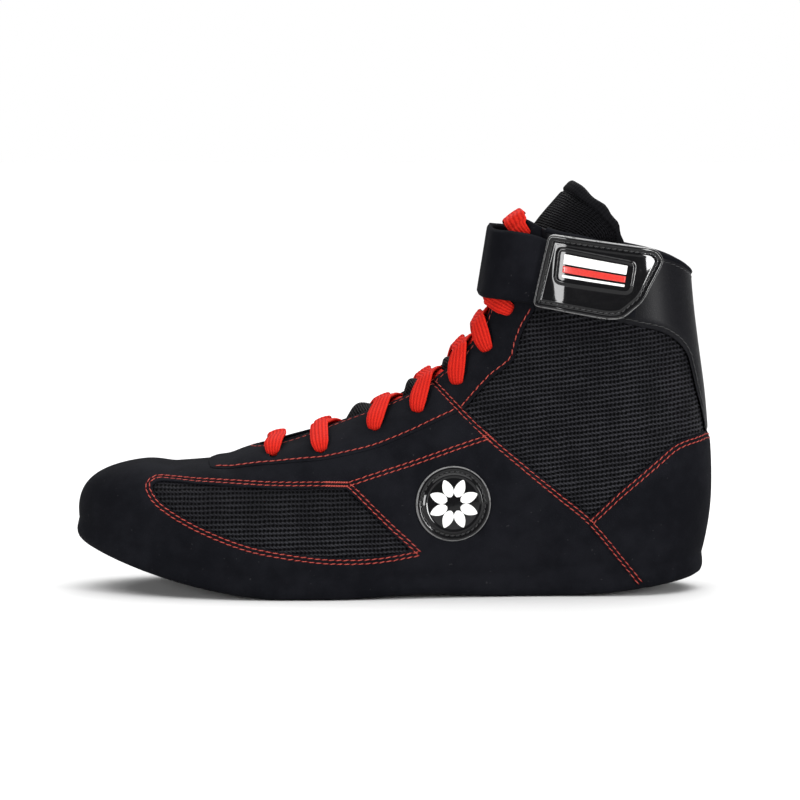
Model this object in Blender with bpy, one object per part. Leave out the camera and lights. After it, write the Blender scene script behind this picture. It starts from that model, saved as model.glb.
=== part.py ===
"""A left boxing shoe, standing empty on its sole.

Frame: +X runs from toe to heel, -Y is the lateral (outer) side and +Z is up. The origin is on the
floor, under the middle of the shoe's box. Lengths below are millimetres; MM turns them into metres.

The upper is a ring of ribs. Each rib rises from the rim of the sole to the top line, which is the
edge of throat and collar. A rib is one row of RIBS, and every other piece is worked out from the
smooth skin through those ribs: its wall, the panels sewn on it, the laces and the ankle strap.
"""

import math

import bmesh
import bpy
import numpy as np

MM = 0.001

# Driving sizes of the shoe
SHOE_LENGTH = 287.0
BALL_WIDTH = 96.0
COLLAR_HEIGHT = 158.0
TOE_X = -143.7
HEEL_X = TOE_X + SHOE_LENGTH

# Sole profile along the shoe: toe spring, arch and bevelled heel
TOE_SPRING = 22.5
TOE_SPRING_START = -52.0
TOE_SPRING_POWER = 1.6
HEEL_BEVEL = 8.0
HEEL_BEVEL_START = 78.0
HEEL_BEVEL_POWER = 1.5
ARCH_RISE = 1.5
ARCH_FRONT = -24.0
ARCH_BACK = 50.0

# Thicknesses and gaps
GAP = 0.3
UPPER_WALL = 2.2
MESH_DEPTH = 0.9
PANEL_THICK = 1.0
OUTSOLE_THICK = 3.1
OUTSOLE_INSET = 5.7
INSOLE_THICK = 3.5
INSOLE_INSET = 4.9
TONGUE_THICK = 3.0
LACE_WIDTH = 8.0
LACE_THICK = 1.6
STRAP_THICK = 1.8
TAB_THICK = 2.2
PATCH_THICK = 1.4

# Eyelets
EYELET_RADIUS = 2.4
EYELET_SIDES = 8

# The ribs, from the toe round the lateral side to the heel and back along the medial side.
# rim_along and top_along are percent of SHOE_LENGTH from the toe tip, rim_out and top_out are percent
# of BALL_WIDTH from the centre line, top_up is percent of COLLAR_HEIGHT. The last four columns are the
# pulls of the rib's curve in millimetres: up and out at its foot, out and down at its top.
# Columns: rim_along, rim_out, top_along, top_out, top_up, low_up, low_out, high_out, high_down.
RIBS = {
    "toe tip":              (0.0, 7.3, 28.8, 0.0, 40.7, 34, 4, 36, 8),
    "lateral toe corner":   (3.9, -19.5, 29.1, -5.2, 40.7, 34, 4, 33, 8),
    "lateral toe side":     (12.2, -37.4, 30.8, -9.9, 41.2, 35, 3, 27, 8),
    "lateral ball front":   (22.1, -46.3, 35.4, -12.0, 43.2, 36, 3, 22, 7),
    "lateral ball":         (33.3, -50.2, 43.9, -13.0, 49.2, 37, 2, 20, 8),
    "lateral midfoot":      (48.3, -46.4, 55.0, -14.6, 58.4, 44, 1, 18, 14),
    "lateral waist":        (62.2, -38.5, 65.4, -15.3, 80.5, 55, 3, 12, 35),
    "lateral heel front":   (76.1, -34.9, 69.2, -18.5, 105.4, 55, 4, 6, 50),
    "lateral heel":         (88.3, -32.8, 81.8, -32.3, 99.5, 50, 5, 1, 48),
    "lateral heel corner":  (95.6, -20.8, 92.9, -22.9, 94.8, 45, 9, 2, 45),
    "heel back":            (98.6, 0.0, 96.3, 0.0, 90.5, 40, 11, 3, 45),
    "medial heel corner":   (95.8, 20.8, 92.9, 22.9, 94.8, 45, 9, 2, 45),
    "medial heel":          (89.0, 32.3, 81.8, 31.8, 99.5, 50, 5, 1, 48),
    "medial heel front":    (76.1, 32.8, 69.2, 18.5, 105.4, 55, 4, 6, 50),
    "medial waist":         (60.5, 30.2, 65.2, 15.3, 79.5, 55, 5, 12, 34),
    "medial midfoot":       (44.8, 35.4, 52.2, 14.1, 55.6, 44, 3, 17, 15),
    "medial ball":          (26.3, 49.9, 38.2, 12.5, 44.8, 36, 2, 21, 8),
    "medial toe side":      (13.4, 45.3, 31.0, 9.9, 41.4, 36, 3, 27, 8),
    "medial toe corner":    (3.9, 29.5, 29.1, 5.2, 40.7, 35, 4, 32, 8),
}
COLUMNS_PER_RIB = 3
WALL_ROWS = 8

# The rolled foot of the upper, as (inset from the rim, height above the sole's underside).
# The outer face runs from the lasting margin, under the rim, up to the crease where the wall starts.
RAND_OUTSIDE = ((13.0, 3.4), (5.4, 3.4), (3.6, 0.5), (1.2, 0.7), (0.0, 3.8))
RAND_INSIDE = ((2.2, 7.0), (4.2, 5.4), (13.0, 5.4))
CREASE_INSET = 1.0
CREASE_HEIGHT = 9.6

# Panel outlines in the side view, as (x, z). Each one is cut through both sides of the upper.
FOREFOOT_MESH = (
    (-112, 50), (-106, 53.5), (-85, 53), (-59, 51), (-19, 51.5), (-4, 36), (11, 21.5),
    (-6, 17.5), (-24, 16.5), (-59, 21.5), (-85, 31.5), (-103, 42.5),
)
ANKLE_MESH = (
    (31.5, 84.5), (44.5, 98), (52.8, 104.8), (55.5, 113.3), (62, 126), (84, 126), (100, 121.5),
    (109.6, 119.4), (119, 117), (125.8, 112.7), (130.3, 107), (132.6, 100.3), (135, 91),
    (137.6, 82.5), (138, 76), (127.1, 67.6), (109.5, 53.9), (87.7, 34.4), (63.6, 54), (42, 72.4),
)
EYESTAY = (
    (-82, 60.5), (-80.5, 58.9), (-76, 58.1), (-66.7, 58.2), (-53.6, 59.2), (-41.6, 60.2),
    (-30.3, 61.4), (-16.2, 64.3), (-7.5, 66.6), (1.3, 69.9), (10.1, 73.6), (18.8, 77.7),
    (27.8, 81.8), (28.3, 83.6), (12.5, 99.5), (5, 107), (5, 120), (-82, 120),
)
TOP_EYESTAY = (
    (28.8, 84.1), (31, 83.2), (33, 85.2), (38.4, 91.4), (44.6, 98), (52.8, 104.8), (55.5, 113.3),
    (58.5, 120.4), (61.5, 127), (65, 150), (66, 178), (6, 178), (6, 107.2), (13, 100),
)
COLLAR_CUFF = (
    (66.7, 178), (65.7, 150), (62.5, 127.5), (84, 127.3), (101, 122.8), (109.6, 120.9),
    (119.4, 118.5), (126.9, 113.9), (131.6, 107.8), (133.9, 100.7), (136.2, 91.2), (138.6, 83.5),
    (139, 76), (152, 76), (152, 178),
)
HEEL_COUNTER = (
    (88.3, 32.2), (100.7, 44), (109.7, 51.6), (127.3, 65.6), (138, 69.4), (152, 71), (152, 13),
    (104.5, 13), (101.2, 17.3),
)

# Round trim patch on the lateral quarter, in the side view
PATCH_CENTRE = (26.5, 42.0)
PATCH_RADIUS = 16.5

# Eyelet rows in the side view, from the throat's front to the collar
EYELETS = (
    (-53.5, 63), (-32, 65.5), (-8, 75), (11.3, 83), (28.8, 95.5), (41.8, 110.5), (51.4, 127.6),
    (58.5, 161.5),
)

# Lace routes: height over the skin, how far up the throat the bars of each row have come when they pass
# its edge, how much further they tuck in, depth of the tucked ends, width at an eyelet, and how the bars
# round the edge. Each crossing has its own height over the middle of the throat.
LACE_LIFT = 4 * GAP + PANEL_THICK + LACE_THICK / 2
LACE_ADVANCE = (0.0, 2.0, 6.5, 9.0, 10.5, 7.0, 3.2, 0.0)
LACE_REACH = 7.5
LACE_TUCK = -1.3
LACE_BUNCH = 0.65
LACE_PAST = 0.3
LACE_CORNER = 1.3
LACE_CROSS_LIFTS = (1.3, 1.3, 1.2, 1.0, 0.5, -2.0)

# Tongue sections: x and z of its middle in the side view, its half width, how far its edges wrap back
TONGUE = (
    (-69, 60.3, 12, 2.5),
    (-50, 63.0, 15, 4),
    (-30, 69.5, 16, 7),
    (-8, 78.5, 17, 9),
    (15, 89.5, 17.5, 12),
    (36, 107, 18.5, 15),
    (48.5, 126, 20.5, 18),
    (56, 144, 23.5, 22),
    (64, 161.5, 26, 26),
    (75, 178.5, 27, 28),
    (79.5, 183.5, 24, 22),
)
TONGUE_WRAP_ANGLE = math.radians(80)
TONGUE_SPOKES = 9

# Ankle strap, from where it is sewn on the medial side, round the front, to its lateral end.
# Columns: side, x, y, low, high. side is 1 on the medial wall, -1 on the lateral wall and 0 where the
# strap crosses the throat; on a wall, y follows from the skin.
STRAP = (
    (1, 106, None, 125, 151),
    (1, 92, None, 126.5, 153.5),
    (1, 80, None, 128, 155.5),
    (1, 70, None, 129.5, 157.5),
    (0, 60, 28.8, 130.8, 160),
    (0, 51.5, 25.6, 131.8, 161.5),
    (0, 43.8, 18.6, 132.5, 163),
    (0, 42.0, 8, 133, 164.5),
    (0, 41.5, 0, 133.5, 165),
    (0, 42.0, -8, 133, 164.5),
    (0, 43.8, -18.6, 132.5, 163),
    (0, 51.5, -25.6, 131.8, 161),
    (0, 60, -28.8, 130.6, 159),
    (-1, 70, None, 129, 157),
    (-1, 80, None, 127.5, 155.5),
    (-1, 92, None, 126, 153.5),
    (-1, 106, None, 124, 152),
)
STRAP_LEAN = 0.16
STRAP_CLEAR = 3 * GAP + PANEL_THICK + 0.3
STRAP_STEPS = 30
TAB_FIRST_ROW = 11
TAB_LAST_ROW = (-1, 121, None, 122, 149.5)
TAB_STEPS = 16
TAB_OUTLINE = (
    (62.3, 129.6), (69, 160.8), (114, 154.6), (118.4, 152), (119, 149), (109.7, 131.6), (101.8, 124.6),
    (94.6, 123.8),
)

# Colours, as the linear red, green and blue of each finish
NUBUCK = (0.012, 0.012, 0.014)
RUBBER = (0.016, 0.016, 0.017)
MESH = (0.010, 0.010, 0.012)
LEATHER = (0.018, 0.019, 0.022)
PATENT = (0.006, 0.006, 0.007)
LACE_RED = (0.62, 0.026, 0.012)


def closed_spline(knots, values):
    """A smooth closed curve through the rows of values; knots has one more entry, the loop's length."""
    values = np.asarray(values, float)
    count = len(values)
    gaps = np.diff(knots)
    matrix = np.zeros((count, count))
    right = np.zeros_like(values)
    for i in range(count):
        before, after = gaps[i - 1], gaps[i]
        following = (i + 1) % count
        matrix[i, i - 1] += before / 6
        matrix[i, i] += (before + after) / 3
        matrix[i, following] += after / 6
        right[i] = (values[following] - values[i]) / after - (values[i] - values[i - 1]) / before
    bends = np.linalg.solve(matrix, right)

    def at(u):
        u = np.mod(u, knots[-1])
        i = np.clip(np.searchsorted(knots, u, side="right") - 1, 0, count - 1)
        j = (i + 1) % count
        gap = gaps[i][..., None]
        p = (knots[i + 1] - u)[..., None] / gap
        q = 1 - p
        curve = ((p**3 - p) * bends[i] + (q**3 - q) * bends[j]) * gap**2 / 6
        return p * values[i] + q * values[j] + curve

    return at


def open_spline(rows, steps):
    """Points of a smooth open curve through the rows, evenly spaced by row number."""
    rows = np.asarray(rows, float)
    padded = np.vstack([2 * rows[0] - rows[1], rows, 2 * rows[-1] - rows[-2]])
    u = np.linspace(0, len(rows) - 1, steps)
    i = np.minimum(u.astype(int), len(rows) - 2)
    f = (u - i)[:, None]
    a, b, c, d = padded[i], padded[i + 1], padded[i + 2], padded[i + 3]
    return 0.5 * (2 * b + (c - a) * f + (2 * a - 5 * b + 4 * c - d) * f**2 + (3 * b - a - 3 * c + d) * f**3)


def unit(v):
    """The vectors v at length one."""
    return v / np.linalg.norm(v, axis=-1, keepdims=True)


def sole_underside(x):
    """Height of the sole's underside above the floor, along the shoe."""
    toe = np.clip((TOE_SPRING_START - x) / (TOE_SPRING_START - TOE_X), 0, 1.1)
    heel = np.clip((x - HEEL_BEVEL_START) / (HEEL_X - HEEL_BEVEL_START), 0, 1.1)
    arch = np.clip((x - ARCH_FRONT) / (ARCH_BACK - ARCH_FRONT), 0, 1)
    rise = TOE_SPRING * toe**TOE_SPRING_POWER + HEEL_BEVEL * heel**HEEL_BEVEL_POWER
    return rise + ARCH_RISE * np.sin(np.pi * arch) ** 2


# The smooth skin through the ribs
RIB_TABLE = np.array(list(RIBS.values()), float)
RIB_SIZES = np.array([SHOE_LENGTH, BALL_WIDTH, SHOE_LENGTH, BALL_WIDTH, COLLAR_HEIGHT]) / 100
RIB_TABLE[:, :5] = RIB_TABLE[:, :5] * RIB_SIZES
RIB_TABLE[:, [0, 2]] += TOE_X
RIM_STEPS = np.linalg.norm(np.diff(RIB_TABLE[:, :2], axis=0, append=RIB_TABLE[:1, :2]), axis=1)
KNOTS = np.concatenate([[0.0], np.cumsum(RIM_STEPS)])
LOOP = KNOTS[-1]
rib_values = closed_spline(KNOTS, RIB_TABLE)
HEEL_KNOT = KNOTS[list(RIBS).index("heel back")]


def rim_outward(s):
    """The level direction out of the shoe at the rim."""
    step = 0.01
    along = rib_values(s + step)[..., :2] - rib_values(s - step)[..., :2]
    return unit(np.stack([along[..., 1], -along[..., 0], np.zeros_like(s)], axis=-1))


def rim_point(s, inset, height):
    """A point in from the rim and above the sole's underside."""
    rim = rib_values(s)
    flat = np.stack([rim[..., 0], rim[..., 1], np.zeros_like(s)], axis=-1) - rim_outward(s) * inset
    flat[..., 2] = sole_underside(flat[..., 0]) + height
    return flat


def skin(s, t):
    """The outer face of the upper: s runs round the rim, t from the crease (0) to the top line (1)."""
    s, t = np.broadcast_arrays(np.asarray(s, float), np.asarray(t, float))
    row = rib_values(s)
    out = rim_outward(s)
    up = np.array([0.0, 0.0, 1.0])
    foot = rim_point(s, CREASE_INSET, CREASE_HEIGHT)
    top = row[..., 2:5]
    low = foot + up * row[..., 5, None] + out * row[..., 6, None]
    high = top + out * row[..., 7, None] - up * row[..., 8, None]
    t = t[..., None]
    return (1 - t) ** 3 * foot + 3 * (1 - t) ** 2 * t * low + 3 * (1 - t) * t**2 * high + t**3 * top


def skin_normal(s, t):
    """The direction out of the skin."""
    s, t = np.broadcast_arrays(np.asarray(s, float), np.asarray(t, float))
    step = 0.02
    along = skin(s + step, t) - skin(s - step, t)
    tiny = 0.002
    up = skin(s, np.minimum(t + tiny, 1)) - skin(s, np.maximum(t - tiny, 0))
    return unit(np.cross(along, up))


def off_skin(s, t, offset):
    """A point that far outside the skin; inside it where offset is negative."""
    return skin(s, t) + skin_normal(s, t) * np.asarray(offset, float)[..., None]


def find_on_skin(x, z, side):
    """(s, t) of the skin where the side view shows the point x, z; side is -1 lateral, 1 medial."""
    rounds = np.linspace(0, HEEL_KNOT, 120) if side < 0 else np.linspace(HEEL_KNOT, LOOP, 120)
    grid_s, grid_t = np.meshgrid(rounds, np.linspace(0.02, 0.98, 40), indexing="ij")
    seen = skin(grid_s, grid_t)[..., [0, 2]]
    best = np.argmin(np.sum((seen - (x, z)) ** 2, axis=-1))
    spot = np.array([grid_s.flat[best], grid_t.flat[best]])
    steps = np.array([0.05, 0.001])
    for _ in range(12):
        here = skin(*spot)[[0, 2]]
        slope = np.stack([(skin(spot[0] + steps[0], spot[1])[[0, 2]] - here) / steps[0],
                          (skin(spot[0], spot[1] + steps[1])[[0, 2]] - here) / steps[1]], axis=1)
        spot = spot + np.linalg.solve(slope, np.array([x, z]) - here)
        spot[1] = np.clip(spot[1], 0.0, 0.995)
    return spot


def rib_stations():
    """Places round the rim where the skin is cut into facets, the same for every piece on it."""
    shares = np.arange(COLUMNS_PER_RIB) / COLUMNS_PER_RIB
    return np.concatenate([KNOTS[i] + shares * RIM_STEPS[i] for i in range(len(RIM_STEPS))])


def wall_levels():
    """Levels up the wall where the skin is cut into facets."""
    return np.linspace(0, 1, WALL_ROWS + 1)


def material(name, colour, roughness, coat=0.0):
    """A plain finish for one sub-part."""
    made = bpy.data.materials.new(name)
    made.use_nodes = True
    shader = made.node_tree.nodes["Principled BSDF"]
    shader.inputs["Base Color"].default_value = (*colour, 1.0)
    shader.inputs["Roughness"].default_value = roughness
    shader.inputs["Metallic"].default_value = 0.0
    shader.inputs["Coat Weight"].default_value = coat
    made.diffuse_color = (*colour, 1.0)
    return made


def place(name, points, faces, finish):
    """A named object from points in millimetres, with its faces turned outwards."""
    mesh = bpy.data.meshes.new(name)
    mesh.from_pydata((np.asarray(points) * MM).tolist(), [], faces)
    shape = bmesh.new()
    shape.from_mesh(mesh)
    bmesh.ops.remove_doubles(shape, verts=shape.verts, dist=0.01 * MM)
    bmesh.ops.recalc_face_normals(shape, faces=shape.faces)
    shape.to_mesh(mesh)
    shape.free()
    mesh.shade_smooth()
    mesh.set_sharp_from_angle(angle=math.radians(35))
    if finish is not None:
        mesh.materials.append(finish)
    obj = bpy.data.objects.new(name, mesh)
    bpy.context.scene.collection.objects.link(obj)
    return obj


def cutter(obj):
    """Marks a helper that only shapes another piece."""
    obj.hide_render = True
    obj.display_type = "WIRE"
    return obj


def grid_faces(rows, columns, closed_rows, first=0, split=None):
    """Quads between neighbouring rows of closed rings; the rows close on themselves if asked.

    With split, quads become triangles, and their diagonal turns over from that column on, so that
    the two faces of a wall are cut along the same diagonals.
    """
    faces = []
    for r in range(rows if closed_rows else rows - 1):
        below, above = first + r * columns, first + (r + 1) % rows * columns
        for c in range(columns):
            beside = (c + 1) % columns
            quad = [below + c, below + beside, above + beside, above + c]
            if split is None:
                faces.append(quad)
            elif c < split:
                faces += [[quad[0], quad[1], quad[2]], [quad[0], quad[2], quad[3]]]
            else:
                faces += [[quad[0], quad[1], quad[3]], [quad[1], quad[2], quad[3]]]
    return faces


def tube(name, rings, finish, closed=False, split=None):
    """A solid skinned over closed rings, which all have the same number of points."""
    rings = np.asarray(rings)
    count, around = rings.shape[:2]
    faces = grid_faces(count, around, closed, split=split)
    if not closed:
        faces.append(list(range(around)))
        faces.append([(count - 1) * around + c for c in range(around)])
    return place(name, rings.reshape(-1, 3), faces, finish)


def boolean(obj, other, operation):
    """Cuts, joins or keeps what two solids share."""
    step = obj.modifiers.new(operation.lower(), "BOOLEAN")
    step.operation = operation
    step.solver = "EXACT"
    step.object = other
    return obj


def prism(name, outline, near, far):
    """A solid with this outline in the side view, from y near to y far."""
    outline = np.asarray(outline, float)
    rings = [np.column_stack([outline[:, 0], np.full(len(outline), y), outline[:, 1]]) for y in (near, far)]
    return cutter(tube(name, rings, None))


def shell(name, inner, outer, finish):
    """The layer of the upper's wall between two offsets from the skin, on the same facets as the upper."""
    s = rib_stations()[:, None]
    t = wall_levels()[None, :]
    outside = off_skin(s, t, np.full((1, 1), outer))
    inside = off_skin(s, t, np.full((1, 1), inner))[:, ::-1]
    return tube(name, np.concatenate([outside, inside], axis=1), finish, closed=True, split=WALL_ROWS + 1)


def panel(name, inner, outer, outline, finish, sides=(-1, 1)):
    """A panel sewn on the upper: a layer of its wall, cut out along an outline in the side view."""
    widest = BALL_WIDTH
    near = -widest if -1 in sides else 0.0
    far = widest if 1 in sides else 0.0
    made = shell(name, inner, outer, finish)
    return boolean(made, prism(name + "_outline", outline, near, far), "INTERSECT")


def make_upper(finish, holes):
    """The upper: one hollow wall with a rolled foot, sunk mesh windows and punched eyelets."""
    s = rib_stations()
    rows = [rim_point(s, inset, height) for inset, height in RAND_OUTSIDE]
    rows += [skin(s, t) for t in wall_levels()]
    rows += [off_skin(s, t, np.full_like(s, -UPPER_WALL)) for t in wall_levels()[::-1]]
    rows += [rim_point(s, inset, height) for inset, height in RAND_INSIDE]
    outer_rows = len(RAND_OUTSIDE) + WALL_ROWS + 1
    upper = tube("upper", np.stack(rows, axis=1), finish, closed=True, split=outer_rows)
    for name, outline in (("forefoot_window", FOREFOOT_MESH), ("ankle_window", ANKLE_MESH)):
        pocket = cutter(panel(name, -MESH_DEPTH, 4.0, outline, None))
        boolean(upper, pocket, "DIFFERENCE")
    boolean(upper, holes, "DIFFERENCE")
    return upper


def make_eyelet_holes():
    """Punches for all the eyelets, straight through the eyestay and the wall."""
    points, faces = [], []
    for side in (-1, 1):
        for x, z in EYELETS:
            s, t = find_on_skin(x, z, side)
            axis = skin_normal(s, t)
            middle = skin(s, t)
            across = unit(np.cross(axis, (1.0, 0.0, 0.0)))
            other = np.cross(axis, across)
            first = len(points)
            for depth in (-UPPER_WALL - 2, PANEL_THICK + 2):
                for k in range(EYELET_SIDES):
                    a = 2 * math.pi * k / EYELET_SIDES
                    turn = across * math.cos(a) + other * math.sin(a)
                    points.append(middle + axis * depth + turn * EYELET_RADIUS)
            faces += grid_faces(2, EYELET_SIDES, False, first)
            faces.append([first + k for k in range(EYELET_SIDES)])
            faces.append([first + EYELET_SIDES + k for k in range(EYELET_SIDES)])
    return cutter(place("eyelet_punches", points, faces, None))


def sole_stations(inset):
    """Stations along the sole, close together at its ends, with the lateral and medial edge at each."""
    s = np.linspace(0, LOOP, 721)[:-1]
    edge = rim_point(s, inset, 0.0)
    toe, heel = np.argmin(edge[:, 0]), np.argmax(edge[:, 0])
    lateral = edge[toe:heel + 1]
    medial = np.concatenate([edge[heel:], edge[:toe + 1]])[::-1]
    front, back = edge[toe, 0], edge[heel, 0]
    share = (1 - np.cos(np.linspace(0.03, 0.97, 26) * math.pi)) / 2
    flats = (TOE_SPRING_START, ARCH_FRONT, ARCH_BACK, HEEL_BEVEL_START)
    x = np.sort(np.concatenate([front + (back - front) * share, flats]))
    return x, np.interp(x, lateral[:, 0], lateral[:, 1]), np.interp(x, medial[:, 0], medial[:, 1])


def make_plate(name, inset, low, high, round_edge, finish):
    """A flat layer under the foot that follows the sole's profile, with eased edges."""
    rings = []
    for x, lateral, medial in zip(*sole_stations(inset)):
        base = float(sole_underside(np.array(x)))
        ease = min(round_edge, (medial - lateral) / 4)
        side = ((lateral + ease, low), (medial - ease, low), (medial, low + ease),
                (medial, high - ease), (medial - ease, high), (lateral + ease, high),
                (lateral, high - ease), (lateral, low + ease))
        rings.append([(x, y, base + z) for y, z in side])
    return tube(name, rings, finish)


def tongue_section(x, z, half_width, wrap, along, depth):
    """One arc across the tongue, square to the way it runs, at that depth under its outer face."""
    inward = np.array([along[1], 0.0, -along[0]])
    turn = np.linspace(-1, 1, TONGUE_SPOKES) * TONGUE_WRAP_ANGLE
    across = (half_width - depth * 0.7) * np.sin(turn) / math.sin(TONGUE_WRAP_ANGLE)
    back = wrap * (1 - np.cos(turn)) / (1 - math.cos(TONGUE_WRAP_ANGLE)) + depth
    return np.array([x, 0.0, z]) + back[:, None] * inward + across[:, None] * np.array([0.0, 1.0, 0.0])


def make_tongue(finish):
    """The tongue: a curved padded strip from under the vamp to above the collar."""
    rows = open_spline(TONGUE, 15)
    along = unit(np.gradient(rows[:, :2], axis=0))
    rings = []
    for row, way in zip(rows, along):
        outer = tongue_section(*row, way, 0.0)
        inner = tongue_section(*row, way, TONGUE_THICK)
        rings.append(np.concatenate([outer, inner[::-1]]))
    return tube("tongue", rings, finish)


def band(name, path, up, out, width, thick, finish):
    """A flat strip along a path; up points across its width and out across its thickness."""
    half_w, half_t = up * (width / 2)[:, None], out * (thick / 2)
    rings = np.stack([path - half_w - half_t, path + half_w - half_t,
                      path + half_w + half_t, path - half_w + half_t], axis=1)
    return tube(name, rings, finish)


def throat_edge(point, side, advance):
    """Where round the rim the throat's edge is nearest to a point on that side, then so far up the throat."""
    corner = KNOTS[list(RIBS).index("lateral heel front" if side < 0 else "medial heel front")]
    around = np.linspace(0 if side < 0 else LOOP, corner, 400)
    edge = skin(around, 1.0)
    climb = np.concatenate([[0.0], np.cumsum(np.linalg.norm(np.diff(edge, axis=0), axis=1))])
    nearest = np.argmin(np.linalg.norm(edge - point, axis=1))
    return np.interp(climb[nearest] + advance, climb, around)


def lace_rows():
    """For each eyelet row: the eyelet and the throat's edge on both sides, and the way out of the shoe."""
    rows = []
    for (x, z), advance in zip(EYELETS, LACE_ADVANCE):
        row = {}
        for side in (-1, 1):
            s, t = find_on_skin(x, z, side)
            edge = throat_edge(skin(s, t), side, advance)
            ahead = throat_edge(skin(s, t), side, advance + LACE_REACH)
            rounds = np.linspace(s, edge, 3)
            levels = np.linspace(t, 1.0, 3)
            row[side] = {"over": off_skin(rounds, levels, np.full(3, LACE_LIFT)),
                         "out": skin_normal(rounds, levels), "edge": skin(edge, 1.0),
                         "ahead": skin(ahead, 1.0), "ahead_out": skin_normal(ahead, 1.0)}
        row["middle"] = (row[-1]["edge"] + row[1]["edge"]) / 2
        row["out"] = unit(row[-1]["out"][-1] + row[1]["out"][-1])
        row["ahead"] = (row[-1]["ahead"] + row[1]["ahead"]) / 2
        row["ahead_out"] = unit(row[-1]["ahead_out"] + row[1]["ahead_out"])
        for side in (-1, 1):
            edge = row[side]["edge"]
            corner = unit(row[side]["out"][-1] + row["out"])
            row[side]["over"][-1] = edge + corner * LACE_LIFT * LACE_CORNER
            row[side]["out"][-1] = corner
            row[side]["past"] = edge + (row["middle"] - edge) * LACE_PAST + row["out"] * LACE_LIFT
        rows.append(row)
    return rows


def lace_strip(name, path, out, widths, finish):
    """One bar of flat lace along a hand-set path; its width is square to its run and less at eyelets."""
    path = open_spline(path, 11)
    out = unit(open_spline(out, 11))
    width = LACE_WIDTH * np.interp(np.linspace(0, 1, 11), np.linspace(0, 1, len(widths)), widths)
    along = unit(np.gradient(path, axis=0))
    across = unit(np.cross(out, along))
    face = unit(np.cross(along, across))
    return band(name, path, across, face, width, LACE_THICK, finish)


def make_cross(number, row, cross_lift, finish):
    """Two bars that leave the eyelets of a row, cross over the throat and tuck under its other edge."""
    bars = []
    for side, lift in ((-1, 0.5), (1, 0.0)):
        start, end = row[side], row[-side]
        middle = (row["middle"] + row["ahead"]) / 2
        out = unit(row["out"] + row["ahead_out"])
        tuck = row["ahead"] + (end["ahead"] - row["ahead"]) * 0.5 + row["ahead_out"] * LACE_TUCK
        path = [*start["over"], start["past"], middle + out * (cross_lift + lift), tuck]
        ways = [*start["out"], row["out"], out, row["ahead_out"]]
        name = f"lace_cross_{number}" if side < 0 else f"lace_under_{number}"
        bars.append(lace_strip(name, path, ways, (LACE_BUNCH, 1, 1, 1, 1, 1), finish))
    cutter(bars[1])
    return boolean(bars[0], bars[1], "UNION")


def make_bar(name, row, lift, first, finish):
    """A bar of lace straight across the throat, from the first place over the eyestay on each side."""
    near, far = row[-1], row[1]
    path = [*near["over"][first:], near["past"], row["middle"] + row["out"] * lift, far["past"],
            *far["over"][first:][::-1]]
    ways = [*near["out"][first:], row["out"], row["out"], row["out"], *far["out"][first:][::-1]]
    widths = (LACE_BUNCH, *[1] * (len(path) - 2), LACE_BUNCH)
    return lace_strip(name, path, ways, widths, finish)


def strap_edges(rows, extra, steps):
    """The strap's lower and upper edge along these rows, that far out from its inner face."""
    low_edge, high_edge = [], []
    for side, x, y, low, high in rows:
        for level, edge, lean in ((low, low_edge, -1), (high, high_edge, 1)):
            if side:
                s, t = find_on_skin(x, level, side)
                edge.append(off_skin(s, t, np.array(STRAP_CLEAR + extra)))
            else:
                forward = np.array([x + lean * STRAP_LEAN * (high - low) / 2, y, level])
                way = unit(np.array([-1.0, y / 20.0, -STRAP_LEAN]))
                edge.append(forward + way * extra)
    return open_spline(low_edge, steps), open_spline(high_edge, steps)


def strap_layer(rows, extra, steps, levels):
    """Points of a layer over the strap, at shares of its width from its lower edge."""
    low, high = strap_edges(rows, extra, steps)
    return np.stack([low + (high - low) * level for level in levels], axis=1)


def make_strap(finish):
    """The ankle strap, a flat band round the front of the shaft."""
    levels = (0.0, 0.5, 1.0)
    inner = strap_layer(STRAP, 0.0, STRAP_STEPS, levels)
    outer = strap_layer(STRAP, STRAP_THICK, STRAP_STEPS, levels)
    return tube("ankle_strap", np.concatenate([inner, outer[:, ::-1]], axis=1), finish)


def make_tab(finish):
    """The stitched tab on the strap's free end, cut to its outline from a layer over the strap."""
    rows = STRAP[TAB_FIRST_ROW:] + (TAB_LAST_ROW,)
    levels = (-0.25, 0.0, 0.5, 1.0, 1.2)
    start = STRAP_THICK + GAP
    inner = strap_layer(rows, start, TAB_STEPS, levels)
    outer = strap_layer(rows, start + TAB_THICK, TAB_STEPS, levels)
    made = tube("strap_tab", np.concatenate([inner, outer[:, ::-1]], axis=1), finish)
    return boolean(made, prism("strap_tab_outline", TAB_OUTLINE, -BALL_WIDTH, 0.0), "INTERSECT")


def make_patch(finish):
    """A round trim patch on the lateral quarter."""
    turns = np.linspace(0, 2 * math.pi, 24, endpoint=False)
    x, z = PATCH_CENTRE
    outline = [(x + PATCH_RADIUS * math.cos(a), z + PATCH_RADIUS * math.sin(a)) for a in turns]
    return panel("side_patch", GAP, GAP + PATCH_THICK, outline, finish, sides=(-1,))


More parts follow.
